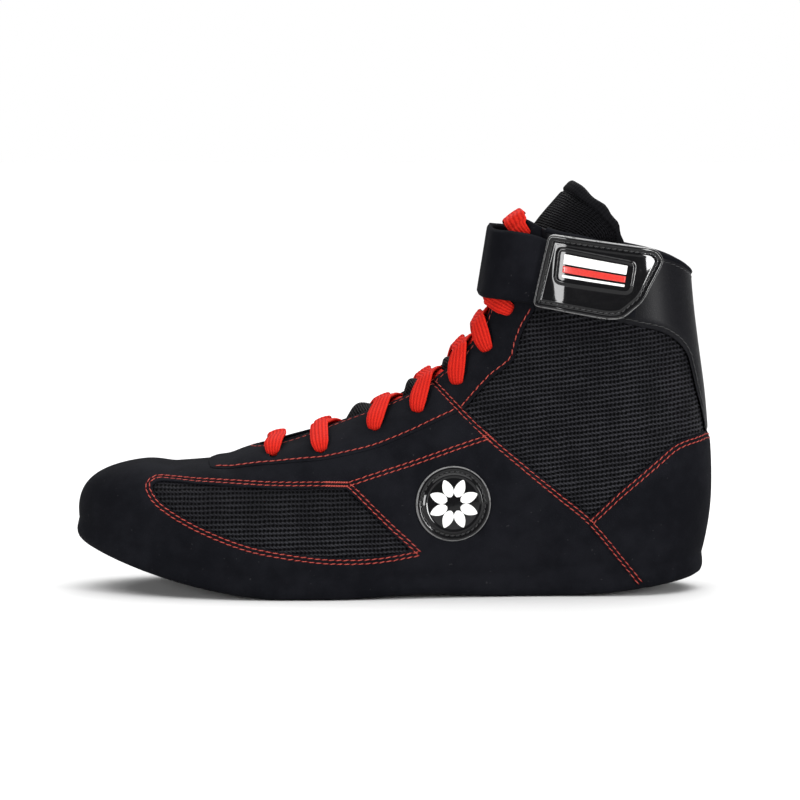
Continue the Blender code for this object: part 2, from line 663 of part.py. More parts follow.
def main():
    for obj in list(bpy.data.objects):
        bpy.data.objects.remove(obj)

    nubuck = material("black nubuck", NUBUCK, 0.9)
    rubber = material("black rubber", RUBBER, 0.7)
    mesh = material("black air mesh", MESH, 0.8)
    leather = material("smooth black leather", LEATHER, 0.42)
    patent = material("black patent", PATENT, 0.12, coat=1.0)
    red = material("red lace", LACE_RED, 0.75)

    holes = make_eyelet_holes()
    make_upper(nubuck, holes)
    make_plate("outsole", OUTSOLE_INSET, 0.0, OUTSOLE_THICK, 0.8, rubber)
    insole_base = RAND_INSIDE[-1][1] + 2 * GAP
    make_plate("insole", INSOLE_INSET, insole_base, insole_base + INSOLE_THICK, 0.6, mesh)
    make_tongue(mesh)

    over = (GAP, GAP + PANEL_THICK)
    boolean(panel("eyestay", *over, EYESTAY, nubuck), holes, "DIFFERENCE")
    for name, side in (("top_eyestay_lateral", -1), ("top_eyestay_medial", 1)):
        boolean(panel(name, *over, TOP_EYESTAY, nubuck, sides=(side,)), holes, "DIFFERENCE")
    panel("collar_cuff", *over, COLLAR_CUFF, leather)
    panel("heel_counter", *over, HEEL_COUNTER, nubuck)
    make_patch(patent)

    rows = lace_rows()
    make_bar("lace_bar_front", rows[0], LACE_LIFT, 0, red)
    for number, lift in enumerate(LACE_CROSS_LIFTS, start=1):
        make_cross(number, rows[number], lift, red)
    make_bar("lace_bar_top", rows[-1], LACE_LIFT, 1, red)

    make_strap(nubuck)
    make_tab(patent)


main()
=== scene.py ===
# %% [markdown]
# # Dressing a boxing shoe
#
# The imported model gives the true shape of a left boxing shoe: a hollow upper, panels, laces, a strap.
# This lesson dresses it: nubuck, air mesh, red thread, flat laces and patent trim are modelled over the
# plain solids, in the same frame and at the same size. We start by loading those solids.

# %% Load the imported model
import math

import bmesh
import bpy
import numpy as np
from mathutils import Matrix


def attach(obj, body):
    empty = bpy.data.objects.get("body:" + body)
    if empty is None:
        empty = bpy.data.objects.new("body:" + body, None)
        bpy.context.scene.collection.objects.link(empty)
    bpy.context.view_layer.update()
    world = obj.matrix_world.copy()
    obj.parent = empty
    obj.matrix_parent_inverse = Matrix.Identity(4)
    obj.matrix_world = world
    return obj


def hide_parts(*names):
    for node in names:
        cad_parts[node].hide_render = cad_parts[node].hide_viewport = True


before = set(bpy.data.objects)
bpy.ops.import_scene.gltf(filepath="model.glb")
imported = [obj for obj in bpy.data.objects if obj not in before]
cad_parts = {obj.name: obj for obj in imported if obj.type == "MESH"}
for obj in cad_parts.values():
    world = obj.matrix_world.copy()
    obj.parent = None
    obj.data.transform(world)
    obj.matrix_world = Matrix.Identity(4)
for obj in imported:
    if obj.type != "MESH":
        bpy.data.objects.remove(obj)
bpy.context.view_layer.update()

MM = 0.001

# %% [markdown]
# ## Camera, floor and light
#
# A product picture of a black shoe needs a pale floor that stays pale up to the horizon, and light that
# is soft but not equal from all sides. A wide sun from above gives every part of the floor the same
# light, so there is no grey band in the distance, and keeps the top of the toe lighter than its side.
# Narrow softboxes then draw the highlights on patent and smooth leather.

# %% Camera at the picture's viewing angle
PICTURE_SIZE = 800
PIXELS_PER_MM = 2.22
CAMERA_AWAY = 1600.0
CAMERA_SIDEWAYS = 2.93
CAMERA_HEIGHT = 213.8
CAMERA_PITCH = math.radians(4.6)
SENSOR = 36.0

camera_data = bpy.data.cameras.new("camera")
camera_data.sensor_width = SENSOR
camera_data.lens = SENSOR * CAMERA_AWAY * PIXELS_PER_MM / PICTURE_SIZE
camera = bpy.data.objects.new("camera", camera_data)
camera.location = (CAMERA_SIDEWAYS * MM, -CAMERA_AWAY * MM, CAMERA_HEIGHT * MM)
camera.rotation_euler = (math.pi / 2 - CAMERA_PITCH, 0.0, 0.0)
bpy.context.scene.collection.objects.link(camera)
bpy.context.scene.camera = camera
bpy.context.scene.view_settings.view_transform = "Standard"
print("lens", round(camera_data.lens, 2), "mm")

# %% Lights
OVERHEAD_LIGHT = 4.6
SKY = 0.2
SOFTBOXES = {
    "front left": ((-0.78, -1.125, 0.3), (0.27, 0.5), 10.0),
    "front right": ((1.16, -0.95, 0.35), (0.16, 0.6), 15.0),
    "high back": ((0.25, 0.9, 1.1), (1.2, 0.5), 6.0),
}
LIGHT_AIM = (0.03, 0.0, 0.08)


def aim(lamp, target):
    """Turns a lamp so that it shines at a point."""
    way = np.subtract(target, lamp.location)
    level = math.hypot(way[0], way[1])
    lamp.rotation_euler = (math.atan2(level, -way[2]), 0.0, math.atan2(way[1], way[0]) - math.pi / 2)


def add_light(name, kind, location, strength):
    """A lamp of the given kind, aimed at the shoe."""
    data = bpy.data.lights.new(name, kind)
    data.energy = strength
    lamp = bpy.data.objects.new(name, data)
    lamp.location = location
    aim(lamp, LIGHT_AIM)
    bpy.context.scene.collection.objects.link(lamp)
    return data


sun = add_light("overhead", "SUN", (0.1, 0.25, 2.0), OVERHEAD_LIGHT)
sun.angle = math.radians(100)
for box_name, (place, size, watts) in SOFTBOXES.items():
    softbox = add_light(f"softbox {box_name}", "AREA", place, watts)
    softbox.shape = "RECTANGLE"
    softbox.size, softbox.size_y = size
world = bpy.data.worlds.new("studio")
world.use_nodes = True
sky = world.node_tree.nodes["Background"]
sky_path = world.node_tree.nodes.new("ShaderNodeLightPath")
sky_strength = world.node_tree.nodes.new("ShaderNodeMapRange")
sky_strength.inputs["To Min"].default_value = SKY
sky_strength.inputs["To Max"].default_value = 1.0
world.node_tree.links.new(sky_path.outputs["Is Camera Ray"], sky_strength.inputs["Value"])
world.node_tree.links.new(sky_strength.outputs["Result"], sky.inputs["Strength"])
sky.inputs["Color"].default_value = (1.0, 1.0, 1.0, 1.0)
bpy.context.scene.world = world
print("lamps:", 1 + len(SOFTBOXES))

# %% [markdown]
# ## The skin of the upper
#
# A shoe is lasted: the upper is pulled over a last, so its surface is smooth everywhere. We describe it
# with ribs that rise from the rim of the sole to the edge of throat and collar, and run a closed spline
# through them. Every panel, seam and stitch below is placed on that one surface, by two coordinates: s
# runs round the rim in millimetres, v climbs from the crease above the sole (0) to the top line (1).
# Below the crease, v is negative and follows the rolled foot of the upper.

# %% Sizes and ribs of the last, in millimetres
SHOE_LENGTH = 287.0
BALL_WIDTH = 96.0
COLLAR_HEIGHT = 158.0
TOE_X = -143.7
HEEL_X = TOE_X + SHOE_LENGTH
TOE_SPRING = 22.5
TOE_SPRING_START = -52.0
TOE_SPRING_POWER = 1.6
HEEL_BEVEL = 8.0
HEEL_BEVEL_START = 78.0
HEEL_BEVEL_POWER = 1.5
ARCH_RISE = 1.5
ARCH_FRONT = -24.0
ARCH_BACK = 50.0
UPPER_WALL = 2.2
CREASE_INSET = 1.0
CREASE_HEIGHT = 9.6
COLLAR_DIP = 2.8
COLLAR_DIP_WIDTH = 10.0

# Percent along, out and up for rim and top line, then the pulls of each rib's curve in millimetres
RIBS = {
    "toe tip":              (0.0, 7.3, 28.8, 0.0, 40.7, 34, 4, 36, 8),
    "lateral toe corner":   (3.9, -19.5, 29.1, -5.2, 40.7, 34, 4, 33, 8),
    "lateral toe side":     (12.2, -37.4, 30.8, -9.9, 41.2, 35, 3, 27, 8),
    "lateral ball front":   (22.1, -46.3, 35.4, -12.0, 43.2, 36, 3, 22, 7),
    "lateral ball":         (33.3, -50.2, 43.9, -13.0, 49.2, 37, 2, 20, 8),
    "lateral midfoot":      (48.3, -46.4, 55.0, -14.6, 58.4, 44, 1, 18, 14),
    "lateral waist":        (62.2, -38.5, 65.4, -15.3, 80.5, 55, 3, 12, 35),
    "lateral heel front":   (76.1, -34.9, 69.2, -18.5, 105.4, 55, 4, 6, 50),
    "lateral heel":         (88.3, -32.8, 81.8, -32.3, 99.5, 50, 5, 1, 48),
    "lateral heel corner":  (95.6, -20.8, 92.9, -22.9, 94.8, 45, 9, 2, 45),
    "heel back":            (98.6, 0.0, 96.3, 0.0, 90.5, 40, 11, 3, 45),
    "medial heel corner":   (95.8, 20.8, 92.9, 22.9, 94.8, 45, 9, 2, 45),
    "medial heel":          (89.0, 32.3, 81.8, 31.8, 99.5, 50, 5, 1, 48),
    "medial heel front":    (76.1, 32.8, 69.2, 18.5, 105.4, 55, 4, 6, 50),
    "medial waist":         (60.5, 30.2, 65.2, 15.3, 79.5, 55, 5, 12, 34),
    "medial midfoot":       (44.8, 35.4, 52.2, 14.1, 55.6, 44, 3, 17, 15),
    "medial ball":          (26.3, 49.9, 38.2, 12.5, 44.8, 36, 2, 21, 8),
    "medial toe side":      (13.4, 45.3, 31.0, 9.9, 41.4, 36, 3, 27, 8),
    "medial toe corner":    (3.9, 29.5, 29.1, 5.2, 40.7, 35, 4, 32, 8),
}

# The rolled foot, down from the crease: inset from the rim and height above the sole's underside
RAND = ((CREASE_INSET, CREASE_HEIGHT), (0.0, 3.8), (1.2, 0.7), (3.6, 0.5), (5.4, 3.4), (13.0, 3.4))
RAND_INSIDE = ((13.0, 5.4), (4.2, 5.4), (2.2, 7.0))
RAND_SPAN = 120.0


# %% Splines
def closed_spline(knots, values):
    """A smooth closed curve through the rows of values; knots has one more entry, the loop's length."""
    values = np.asarray(values, float)
    count = len(values)
    gaps = np.diff(knots)
    matrix = np.zeros((count, count))
    right = np.zeros_like(values)
    for i in range(count):
        before, after = gaps[i - 1], gaps[i]
        following = (i + 1) % count
        matrix[i, i - 1] += before / 6
        matrix[i, i] += (before + after) / 3
        matrix[i, following] += after / 6
        right[i] = (values[following] - values[i]) / after - (values[i] - values[i - 1]) / before
    bends = np.linalg.solve(matrix, right)

    def at(u):
        u = np.mod(u, knots[-1])
        i = np.clip(np.searchsorted(knots, u, side="right") - 1, 0, count - 1)
        j = (i + 1) % count
        gap = gaps[i][..., None]
        p = (knots[i + 1] - u)[..., None] / gap
        q = 1 - p
        curve = ((p**3 - p) * bends[i] + (q**3 - q) * bends[j]) * gap**2 / 6
        return p * values[i] + q * values[j] + curve

    return at


def open_spline(rows, steps):
    """Points of a smooth open curve through the rows, evenly spaced by row number."""
    rows = np.asarray(rows, float)
    padded = np.vstack([2 * rows[0] - rows[1], rows, 2 * rows[-1] - rows[-2]])
    u = np.linspace(0, len(rows) - 1, steps)
    i = np.minimum(u.astype(int), len(rows) - 2)
    f = (u - i)[:, None]
    a, b, c, d = padded[i], padded[i + 1], padded[i + 2], padded[i + 3]
    return 0.5 * (2 * b + (c - a) * f + (2 * a - 5 * b + 4 * c - d) * f**2 + (3 * b - a - 3 * c + d) * f**3)


def unit(v):
    """The vectors v at length one."""
    return v / np.maximum(np.linalg.norm(v, axis=-1, keepdims=True), 1e-9)


def arc_lengths(line):
    """Distance along a line of points, from its first one."""
    return np.concatenate([[0.0], np.cumsum(np.linalg.norm(np.diff(line, axis=0), axis=1))])


def on_line(where, arc, line):
    """Points that far along a line, whose own points lie at the distances arc."""
    return np.stack([np.interp(where, arc, column) for column in line.T], axis=1)


def ridge(distance, height, width):
    """A soft ridge, or a trough where the height is negative, by the distance from its middle."""
    return height * np.exp(-((distance / width) ** 2))


def rolled(distance, reach):
    """A rolled edge: 0 on the edge, 1 that far inside it."""
    return np.sqrt(np.clip(1 - np.clip(1 - distance / reach, 0, 1) ** 2, 0, 1))


# %% The wall of the upper as a function of s and v
RIB_TABLE = np.array(list(RIBS.values()), float)
RIB_TABLE[:, :5] *= np.array([SHOE_LENGTH, BALL_WIDTH, SHOE_LENGTH, BALL_WIDTH, COLLAR_HEIGHT]) / 100
RIB_TABLE[:, [0, 2]] += TOE_X
RIM_STEPS = np.linalg.norm(np.diff(RIB_TABLE[:, :2], axis=0, append=RIB_TABLE[:1, :2]), axis=1)
KNOTS = np.concatenate([[0.0], np.cumsum(RIM_STEPS)])
LOOP = KNOTS[-1]
RIB_AT = dict(zip(RIBS, KNOTS))
HEEL_KNOT = RIB_AT["heel back"]
rib_values = closed_spline(KNOTS, RIB_TABLE)
rand_curve = open_spline(RAND, 80)
rand_arc = arc_lengths(rand_curve)
V_LOW = -rand_arc[-1] / RAND_SPAN


def sole_underside(x):
    """Height of the sole's underside above the floor, along the shoe."""
    toe = np.clip((TOE_SPRING_START - x) / (TOE_SPRING_START - TOE_X), 0, 1.1)
    heel = np.clip((x - HEEL_BEVEL_START) / (HEEL_X - HEEL_BEVEL_START), 0, 1.1)
    arch = np.clip((x - ARCH_FRONT) / (ARCH_BACK - ARCH_FRONT), 0, 1)
    rise = TOE_SPRING * toe**TOE_SPRING_POWER + HEEL_BEVEL * heel**HEEL_BEVEL_POWER
    return rise + ARCH_RISE * np.sin(np.pi * arch) ** 2


def rim_outward(s):
    """The level direction out of the shoe at the rim."""
    step = 0.01
    along = rib_values(s + step)[..., :2] - rib_values(s - step)[..., :2]
    return unit(np.stack([along[..., 1], -along[..., 0], np.zeros_like(s)], axis=-1))


def rim_point(s, inset, height):
    """A point in from the rim and above the sole's underside."""
    rim = rib_values(s)
    inset = np.broadcast_to(np.asarray(inset, float), s.shape)
    flat = np.stack([rim[..., 0], rim[..., 1], np.zeros_like(s)], axis=-1) - rim_outward(s) * inset[..., None]
    flat[..., 2] = sole_underside(flat[..., 0]) + height
    return flat


def collar_dip(s):
    """How far the top line sags behind the strap, on both sides."""
    dip = np.zeros_like(s)
    for side in ("lateral", "medial"):
        middle = (RIB_AT[side + " heel front"] + RIB_AT[side + " heel"]) / 2
        dip += ridge(np.mod(s, LOOP) - middle, COLLAR_DIP, COLLAR_DIP_WIDTH)
    return dip


def skin(s, t):
    """The lasted part of the upper: t runs from the crease (0) to the top line (1)."""
    row = rib_values(s)
    out = rim_outward(s)
    up = np.array([0.0, 0.0, 1.0])
    foot = rim_point(s, CREASE_INSET, CREASE_HEIGHT)
    top = row[..., 2:5] - up * collar_dip(s)[..., None]
    low = foot + up * row[..., 5, None] + out * row[..., 6, None]
    high = top + out * row[..., 7, None] - up * row[..., 8, None]
    t = t[..., None]
    return (1 - t) ** 3 * foot + 3 * (1 - t) ** 2 * t * low + 3 * (1 - t) * t**2 * high + t**3 * top


def wall(s, v):
    """The outer face of the upper, with its rolled foot where v is negative."""
    s, v = np.broadcast_arrays(np.asarray(s, float), np.asarray(v, float))
    arc = np.clip(-v, 0, None) * RAND_SPAN
    inset = np.interp(arc, rand_arc, rand_curve[:, 0])
    height = np.interp(arc, rand_arc, rand_curve[:, 1])
    return np.where((v < 0)[..., None], rim_point(s, inset, height), skin(s, np.clip(v, 0, 1)))


def wall_normal(s, v):
    """The direction out of the wall."""
    s, v = np.broadcast_arrays(np.asarray(s, float), np.asarray(v, float))
    step, tiny = 0.05, 0.004
    along = wall(s + step, v) - wall(s - step, v)
    up = wall(s, np.minimum(v + tiny, 1)) - wall(s, np.maximum(v - tiny, V_LOW))
    return unit(np.cross(along, up))


def on_wall(points, side):
    """(s, v) where the side view shows each point (x, z); side is -1 lateral, 1 medial."""
    points = np.asarray(points, float)
    rounds = np.linspace(0, HEEL_KNOT, 180) if side < 0 else np.linspace(HEEL_KNOT, LOOP, 180)
    grid_s, grid_v = np.meshgrid(rounds, np.linspace(-0.1, 1.0, 70), indexing="ij")
    seen = wall(grid_s, grid_v)[..., [0, 2]].reshape(-1, 2)
    best = [np.argmin(np.sum((seen - point) ** 2, axis=1)) for point in points]
    place = np.stack([grid_s.ravel()[best], grid_v.ravel()[best]], axis=1)
    steps = (0.05, 0.001)
    for _ in range(10):
        s, v = place.T
        here = wall(s, v)[:, [0, 2]]
        by_s = (wall(s + steps[0], v)[:, [0, 2]] - here) / steps[0]
        by_v = (wall(s, v + steps[1])[:, [0, 2]] - here) / steps[1]
        miss = points - here
        area = by_s[:, 0] * by_v[:, 1] - by_s[:, 1] * by_v[:, 0]
        area = np.where(np.abs(area) < 1e-3, 1e-3, area)
        move_s = (miss[:, 0] * by_v[:, 1] - miss[:, 1] * by_v[:, 0]) / area
        move_v = (by_s[:, 0] * miss[:, 1] - by_s[:, 1] * miss[:, 0]) / area
        place[:, 0] += np.clip(move_s, -6, 6)
        place[:, 1] = np.clip(place[:, 1] + np.clip(move_v, -0.1, 0.1), -0.12, 0.998)
    return place


print("loop round the rim", round(LOOP, 1), "mm; heel at", round(HEEL_KNOT, 1))

# %% [markdown]
# ## Outlines and seams in the side view
#
# A maker cuts panels from paper patterns. Our patterns are outlines drawn in the side view, in
# millimetres, with corners only where two runs of points meet. Both sides of the shoe use the same
# patterns. The signed distance to an outline tells whether a spot lies in the panel and how far its edge
# is, which is all we need for cutting windows, rolling edges and pressing seams into the leather.


# %% Lines in the side view
def smooth_run(points, step=1.6):
    """A smooth line through the points, with corners nowhere."""
    rough = open_spline(points, 12 * len(points))
    count = max(int(arc_lengths(rough)[-1] / step), 4)
    return open_spline(points, count)


def outline(*runs):
    """A closed outline from runs of points; neighbouring runs meet in a corner."""
    return np.vstack([smooth_run(run)[:-1] if len(run) > 2 else np.asarray(run[:1], float) for run in runs])


def straight(*corners):
    """Straight runs from each corner to the next."""
    return zip(corners[:-1], corners[1:])


def beside(points, shift):
    """A line that far to the left of another, seen along it."""
    ahead = unit(np.gradient(np.asarray(points, float), axis=0))
    return np.asarray(points) + np.stack([-ahead[:, 1], ahead[:, 0]], axis=1) * shift


def rounded(corners, radius, turns=7):
    """A closed outline with straight sides and round corners."""
    corners = np.asarray(corners, float)
    points = []
    for before, here, after in zip(np.roll(corners, 1, axis=0), corners, np.roll(corners, -1, axis=0)):
        a, b = here + unit(before - here) * radius, here + unit(after - here) * radius
        share = np.linspace(0, 1, turns)[:, None]
        points.append((1 - share) ** 2 * a + 2 * share * (1 - share) * here + share**2 * b)
    return np.vstack(points)


def line_distance(line, x, z):
    """Distance in the side view from x, z to a line of points."""
    best = np.full(np.shape(x), np.inf)
    for (ax, az), (bx, bz) in zip(line[:-1], line[1:]):
        dx, dz = bx - ax, bz - az
        share = np.clip(((x - ax) * dx + (z - az) * dz) / (dx * dx + dz * dz + 1e-12), 0, 1)
        best = np.minimum(best, (x - ax - share * dx) ** 2 + (z - az - share * dz) ** 2)
    return np.sqrt(best)


def within(shape, x, z):
    """Signed distance in the side view to a closed outline, positive inside it."""
    inside = np.zeros(np.shape(x), bool)
    for (ax, az), (bx, bz) in zip(shape, np.roll(shape, -1, axis=0)):
        if az != bz:
            inside ^= ((az > z) != (bz > z)) & (x < ax + (z - az) * (bx - ax) / (bz - az))
    edge = line_distance(np.vstack([shape, shape[:1]]), x, z)
    return np.where(inside, edge, -edge)


# %% Seams and panels of this shoe
LEAF_TIP = (11.6, 20.1)
LEAF_TOP = (-19.9, 51.0)
LEAF_LOWER = (LEAF_TIP, (-6.4, 17.4), (-23, 17.0), (-38.9, 18.3), (-63.7, 22.7), (-86.3, 31), (-102.5, 40),
              (-108.3, 46.2), (-109.2, 50.5), (-105.4, 53.6), (-98.4, 54.1), (-84.5, 52.9), (-57.2, 51.3),
              (-31.1, 51.2), LEAF_TOP)
LEAF_BACK = (LEAF_TOP, (-14.3, 45.7), (-0.8, 32.2), (6, 25.9), LEAF_TIP)
QUARTER_SEAM = (LEAF_TOP, (-7.5, 55), (4.9, 58.8), (16.2, 62.6), (29.5, 67.1), (42, 71.1))
FRONT_SEAM = ((16.2, 96), (23.3, 89.2), (29, 83.5), (35.5, 77.2), (42, 71.1), (49.5, 64.5), (57.4, 57.9),
              (63.6, 52.7), (73.9, 44.3), (87.7, 32.8), (100.7, 17.3), (111.1, 4))
COUNTER_SEAM = ((87.7, 33), (100.5, 45.1), (109.5, 52.7), (118, 59.8), (127.1, 66.6), (140.1, 69.8))
EYESTAY_LINE = ((-82.5, 60), (-80, 58.4), (-66.7, 58.2), (-53.6, 59.2), (-41.6, 60.2), (-30.3, 61.4),
                (-16.2, 64.3), (-7.5, 66.6), (1.3, 69.9), (10.1, 73.6), (18.8, 77.7), (27.8, 81.8))
TOP_EYESTAY_LINE = ((31, 83.2), (38.4, 91.4), (44.6, 98), (52.8, 104.8), (55.5, 113.3), (58.5, 120.4),
                    (62.3, 127))
CUFF_LINE = ((63, 127.5), (84, 127.2), (101, 122.3), (109.6, 120.2), (119.1, 117.8), (126.3, 113.3),
             (130.9, 107.5), (133.2, 100.5), (135.6, 90.9), (138.2, 82), (140.4, 72.0))
EYELETS = ((-53.5, 63), (-32, 65.5), (-8, 75), (11.3, 83), (28.8, 95.5), (41.8, 110.5), (51.4, 127.6),
           (58.5, 161.5))
PANEL_LIFT = 1.3
PARED_EDGE = 0.3
PARED_WIDTH = 4.0
WINDOW_INSET = 1.9
MESH_UNDERLAP = 3.0
SEAM_MARGIN = 1.5
WINDOW_SEAM = slice(2, 10)
HEEL_SEAM = slice(9, None)

LEAF = outline(LEAF_LOWER, LEAF_BACK)
ANKLE = outline(FRONT_SEAM[WINDOW_SEAM], COUNTER_SEAM, *straight((140.1, 69.8), (155, 71), (155, 80)),
                beside(CUFF_LINE, MESH_UNDERLAP)[::-1], beside(TOP_EYESTAY_LINE, MESH_UNDERLAP)[::-1])
EYESTAY = outline(EYESTAY_LINE, *straight((27.8, 81.8), (28.4, 83.4), (12.5, 99.4), (5, 107), (5, 122),
                                          (-84, 122), (-84, 62), (-82.5, 60)))
TOP_EYESTAY = outline(*straight((12.5, 99.7), (28.6, 83.6), (31, 83.2)), TOP_EYESTAY_LINE,
                      *straight((62.3, 127), (65.2, 150), (66, 180), (5.2, 180), (5.2, 107.2), (12.5, 99.7)))
COLLAR_CUFF = outline(CUFF_LINE, *straight((140.4, 72), (155, 72.6), (155, 180), (66.6, 180), (65.8, 150),
                                           (63, 127.5)))
COUNTER = outline(beside(COUNTER_SEAM, SEAM_MARGIN),
                  *straight((140.1, 71.3), (155, 72.5), (155, -4), (116, -4)),
                  beside(FRONT_SEAM[HEEL_SEAM], -SEAM_MARGIN)[::-1])
PANELS = {"eyestay": EYESTAY, "top_eyestay": TOP_EYESTAY, "collar_cuff": COLLAR_CUFF, "heel_counter": COUNTER}


def panel_thick(edge):
    """Thickness of a panel that far inside its edge, where the leather is pared."""
    full = np.sin(np.clip(edge / PARED_WIDTH, 0, 1) * math.pi / 2)
    return PANEL_LIFT * (PARED_EDGE + (1 - PARED_EDGE) * full)


def panel_lift(x, z):
    """How far the panels stand above the upper at a spot of the side view."""
    lift = np.zeros(np.shape(x))
    for shape in PANELS.values():
        edge = within(shape, x, z)
        lift = np.where(edge > 0, panel_thick(edge), lift)
    return lift


print("patterns:", 2 + len(PANELS), "seams: 7")

# %% [markdown]
# ## Creases placed one by one
#
# Soft uppers are never perfectly smooth. The ankle mesh of this shoe has slack folds that run from the
# throat towards the heel, the leather dips along every sewn line, and each eyelet is pulled in by its
# lace. Noise could fake this, but then the folds would lie anywhere. We place each trough or ridge one by
# one instead: a line in the side view, a depth (negative is a trough) and a width, all in millimetres.

# %% Troughs and ridges
CREASES = (
    (((36, 79), (52, 81), (68, 80.5), (94, 77.5)), -1.1, 3.6),
    (((41, 87), (60, 89.5), (84, 88), (110, 90)), 0.7, 4.5),
    (((52, 68), (72, 70), (90, 70.5), (114, 67.5)), -0.9, 3.4),
    (((48, 97), (70, 98.5), (96, 97), (120, 101)), -0.7, 3.8),
    (((58, 110), (80, 107.5), (104, 108.5), (118, 106)), -0.6, 3.2),
    (((66, 60), (82, 61), (98, 57)), 0.6, 4.0),
    (((60, 119), (84, 117.5), (106, 115)), 0.5, 3.5),
    (((-72, 58), (-60, 55.5), (-44, 54.5)), -0.5, 4.0),
    (((-118, 34), (-104, 29), (-90, 22)), -0.5, 7.0),
    (((-40, 27), (-22, 31), (-12, 36)), -0.5, 5.0),
    (((0, 30), (4, 44), (2, 54)), 0.5, 6.0),
    (((54, 30), (62, 42), (60, 50)), -0.5, 6.0),
    (((100, 34), (116, 42), (132, 40)), 0.5, 8.0),
    (((2, 9.8), (40, 10.5), (93, 13.8)), -0.7, 2.2),
    (((-98, 61.5), (-88, 62), (-78, 64.5)), -2.9, 9.0),
)
SEAM_DIP = -0.32
SEAM_WIDTH = 2.0
EYELET_DIP = -0.5
EYELET_WIDTH = 4.2
CREASE_LINES = [(smooth_run(points, 3.0), depth, width) for points, depth, width in CREASES]
DIPS = [smooth_run(line, 3.0) for line in (LEAF_LOWER, LEAF_BACK, QUARTER_SEAM, FRONT_SEAM, COUNTER_SEAM)]


def relief(x, z):
    """Height of creases, seams and eyelets over the smooth skin, by the side view."""
    creases = sum(ridge(line_distance(line, x, z), depth, width) for line, depth, width in CREASE_LINES)
    seams = np.minimum.reduce([ridge(line_distance(line, x, z), SEAM_DIP, SEAM_WIDTH) for line in DIPS])
    eyelets = sum(ridge(np.hypot(x - ex, z - ez), EYELET_DIP, EYELET_WIDTH) for ex, ez in EYELETS)
    return creases + seams + eyelets


def layer(s, v):
    """Spots of the creased wall: their place, the way out, and their x and z in the side view."""
    place = wall(s, v)
    out = wall_normal(s, v)
    x, z = place[..., 0], place[..., 2]
    return place + out * relief(x, z)[..., None], out, x, z


print("creases:", len(CREASES), "pressed seams:", len(DIPS))

# %% [markdown]
# ## From grids to pieces
#
# A panel starts as a fine grid on the wall. The grid's squares that an outline crosses are cut along it,
# so the edge is as smooth as the outline itself and needs no Boolean. The cut edge then gets a rolled
# skirt and an underside, which turns the patch into a thin closed piece, like a leather blank.


# %% Pieces on the shoe
def add_piece(name, points, faces, finishes, stands_for=(), cloth=None, kinds=None):
    """A mesh piece that moves with the shoe; cloth holds a spot's own weave coordinates."""
    mesh = bpy.data.meshes.new(name)
    mesh.from_pydata((np.asarray(points) * MM).tolist(), [], [list(map(int, face)) for face in faces])
    for finish in finishes:
        mesh.materials.append(finish)
    if kinds is not None:
        mesh.polygons.foreach_set("material_index", np.asarray(kinds, np.int32))
    if cloth is not None:
        marks = mesh.attributes.new("cloth", "FLOAT_VECTOR", "POINT")
        marks.data.foreach_set("vector", np.asarray(cloth, np.float32).ravel())
    shape = bmesh.new()
    shape.from_mesh(mesh)
    bmesh.ops.remove_doubles(shape, verts=shape.verts, dist=0.004 * MM)
    shape.to_mesh(mesh)
    shape.free()
    mesh.shade_smooth()
    piece = bpy.data.objects.new(name, mesh)
    bpy.context.scene.collection.objects.link(piece)
    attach(piece, "root")
    if stands_for:
        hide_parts(*stands_for)
    triangles = sum(len(face) - 2 for face in faces)
    print(f"{name}: {len(mesh.vertices)} points, {triangles} triangles")
    return piece


def squares(rows, columns, first=0):
    """Four-cornered faces of a grid of points, numbered from first, row by row."""
    ids = first + np.arange(rows * columns).reshape(rows, columns)
    return np.stack([ids[:-1, :-1], ids[1:, :-1], ids[1:, 1:], ids[:-1, 1:]], axis=-1).reshape(-1, 4)


def tube_faces(rings, sides):
    """Faces of a tube of rings of points, with both ends filled."""
    ids = np.arange(rings * sides).reshape(rings, sides)
    beside = np.roll(ids, -1, axis=1)
    around = np.stack([ids[:-1], ids[1:], beside[1:], beside[:-1]], axis=-1).reshape(-1, 4).tolist()
    return around + [ids[0].tolist(), ids[-1, ::-1].tolist()]


def turned(faces):
    """The same faces, seen from their other side."""
    return [face[:1] + face[:0:-1] for face in faces]


def cut_grid(s, v, keep):
    """Spots (s, v) and faces of the part of a grid where keep is positive, cut along its zero line."""
    quads = squares(*keep.shape)
    level = keep.ravel()
    kept = level[quads] > 0
    spots = np.stack([s.ravel(), v.ravel()], axis=1)
    cut_spots, cut_ids = [], {}

    def crossing(a, b):
        key = (min(a, b), max(a, b))
        if key not in cut_ids:
            cut_ids[key] = len(spots) + len(cut_spots)
            cut_spots.append(spots[a] + (spots[b] - spots[a]) * level[a] / (level[a] - level[b]))
        return cut_ids[key]

    faces = quads[kept.all(axis=1)].tolist()
    for quad in quads[kept.any(axis=1) & ~kept.all(axis=1)].tolist():
        face = []
        for a, b in zip(quad, quad[1:] + quad[:1]):
            if level[a] > 0:
                face.append(a)
            if (level[a] > 0) != (level[b] > 0):
                face.append(crossing(a, b))
        faces.append(face)
    used = np.unique(np.concatenate([np.asarray(face) for face in faces]))
    number = {old: new for new, old in enumerate(used.tolist())}
    every = np.vstack([spots, np.reshape(cut_spots, (-1, 2))])
    return every[used], [[number[corner] for corner in face] for face in faces]


def rim_edges(faces):
    """Directed edges that only one face uses: the cut edge of a patch, with the patch on its left."""
    edges = {(a, b) for face in faces for a, b in zip(face, face[1:] + face[:1])}
    return [(a, b) for a, b in edges if (b, a) not in edges]


EDGE_ROLL = ((0.22, 0.28), (0.3, 0.62))


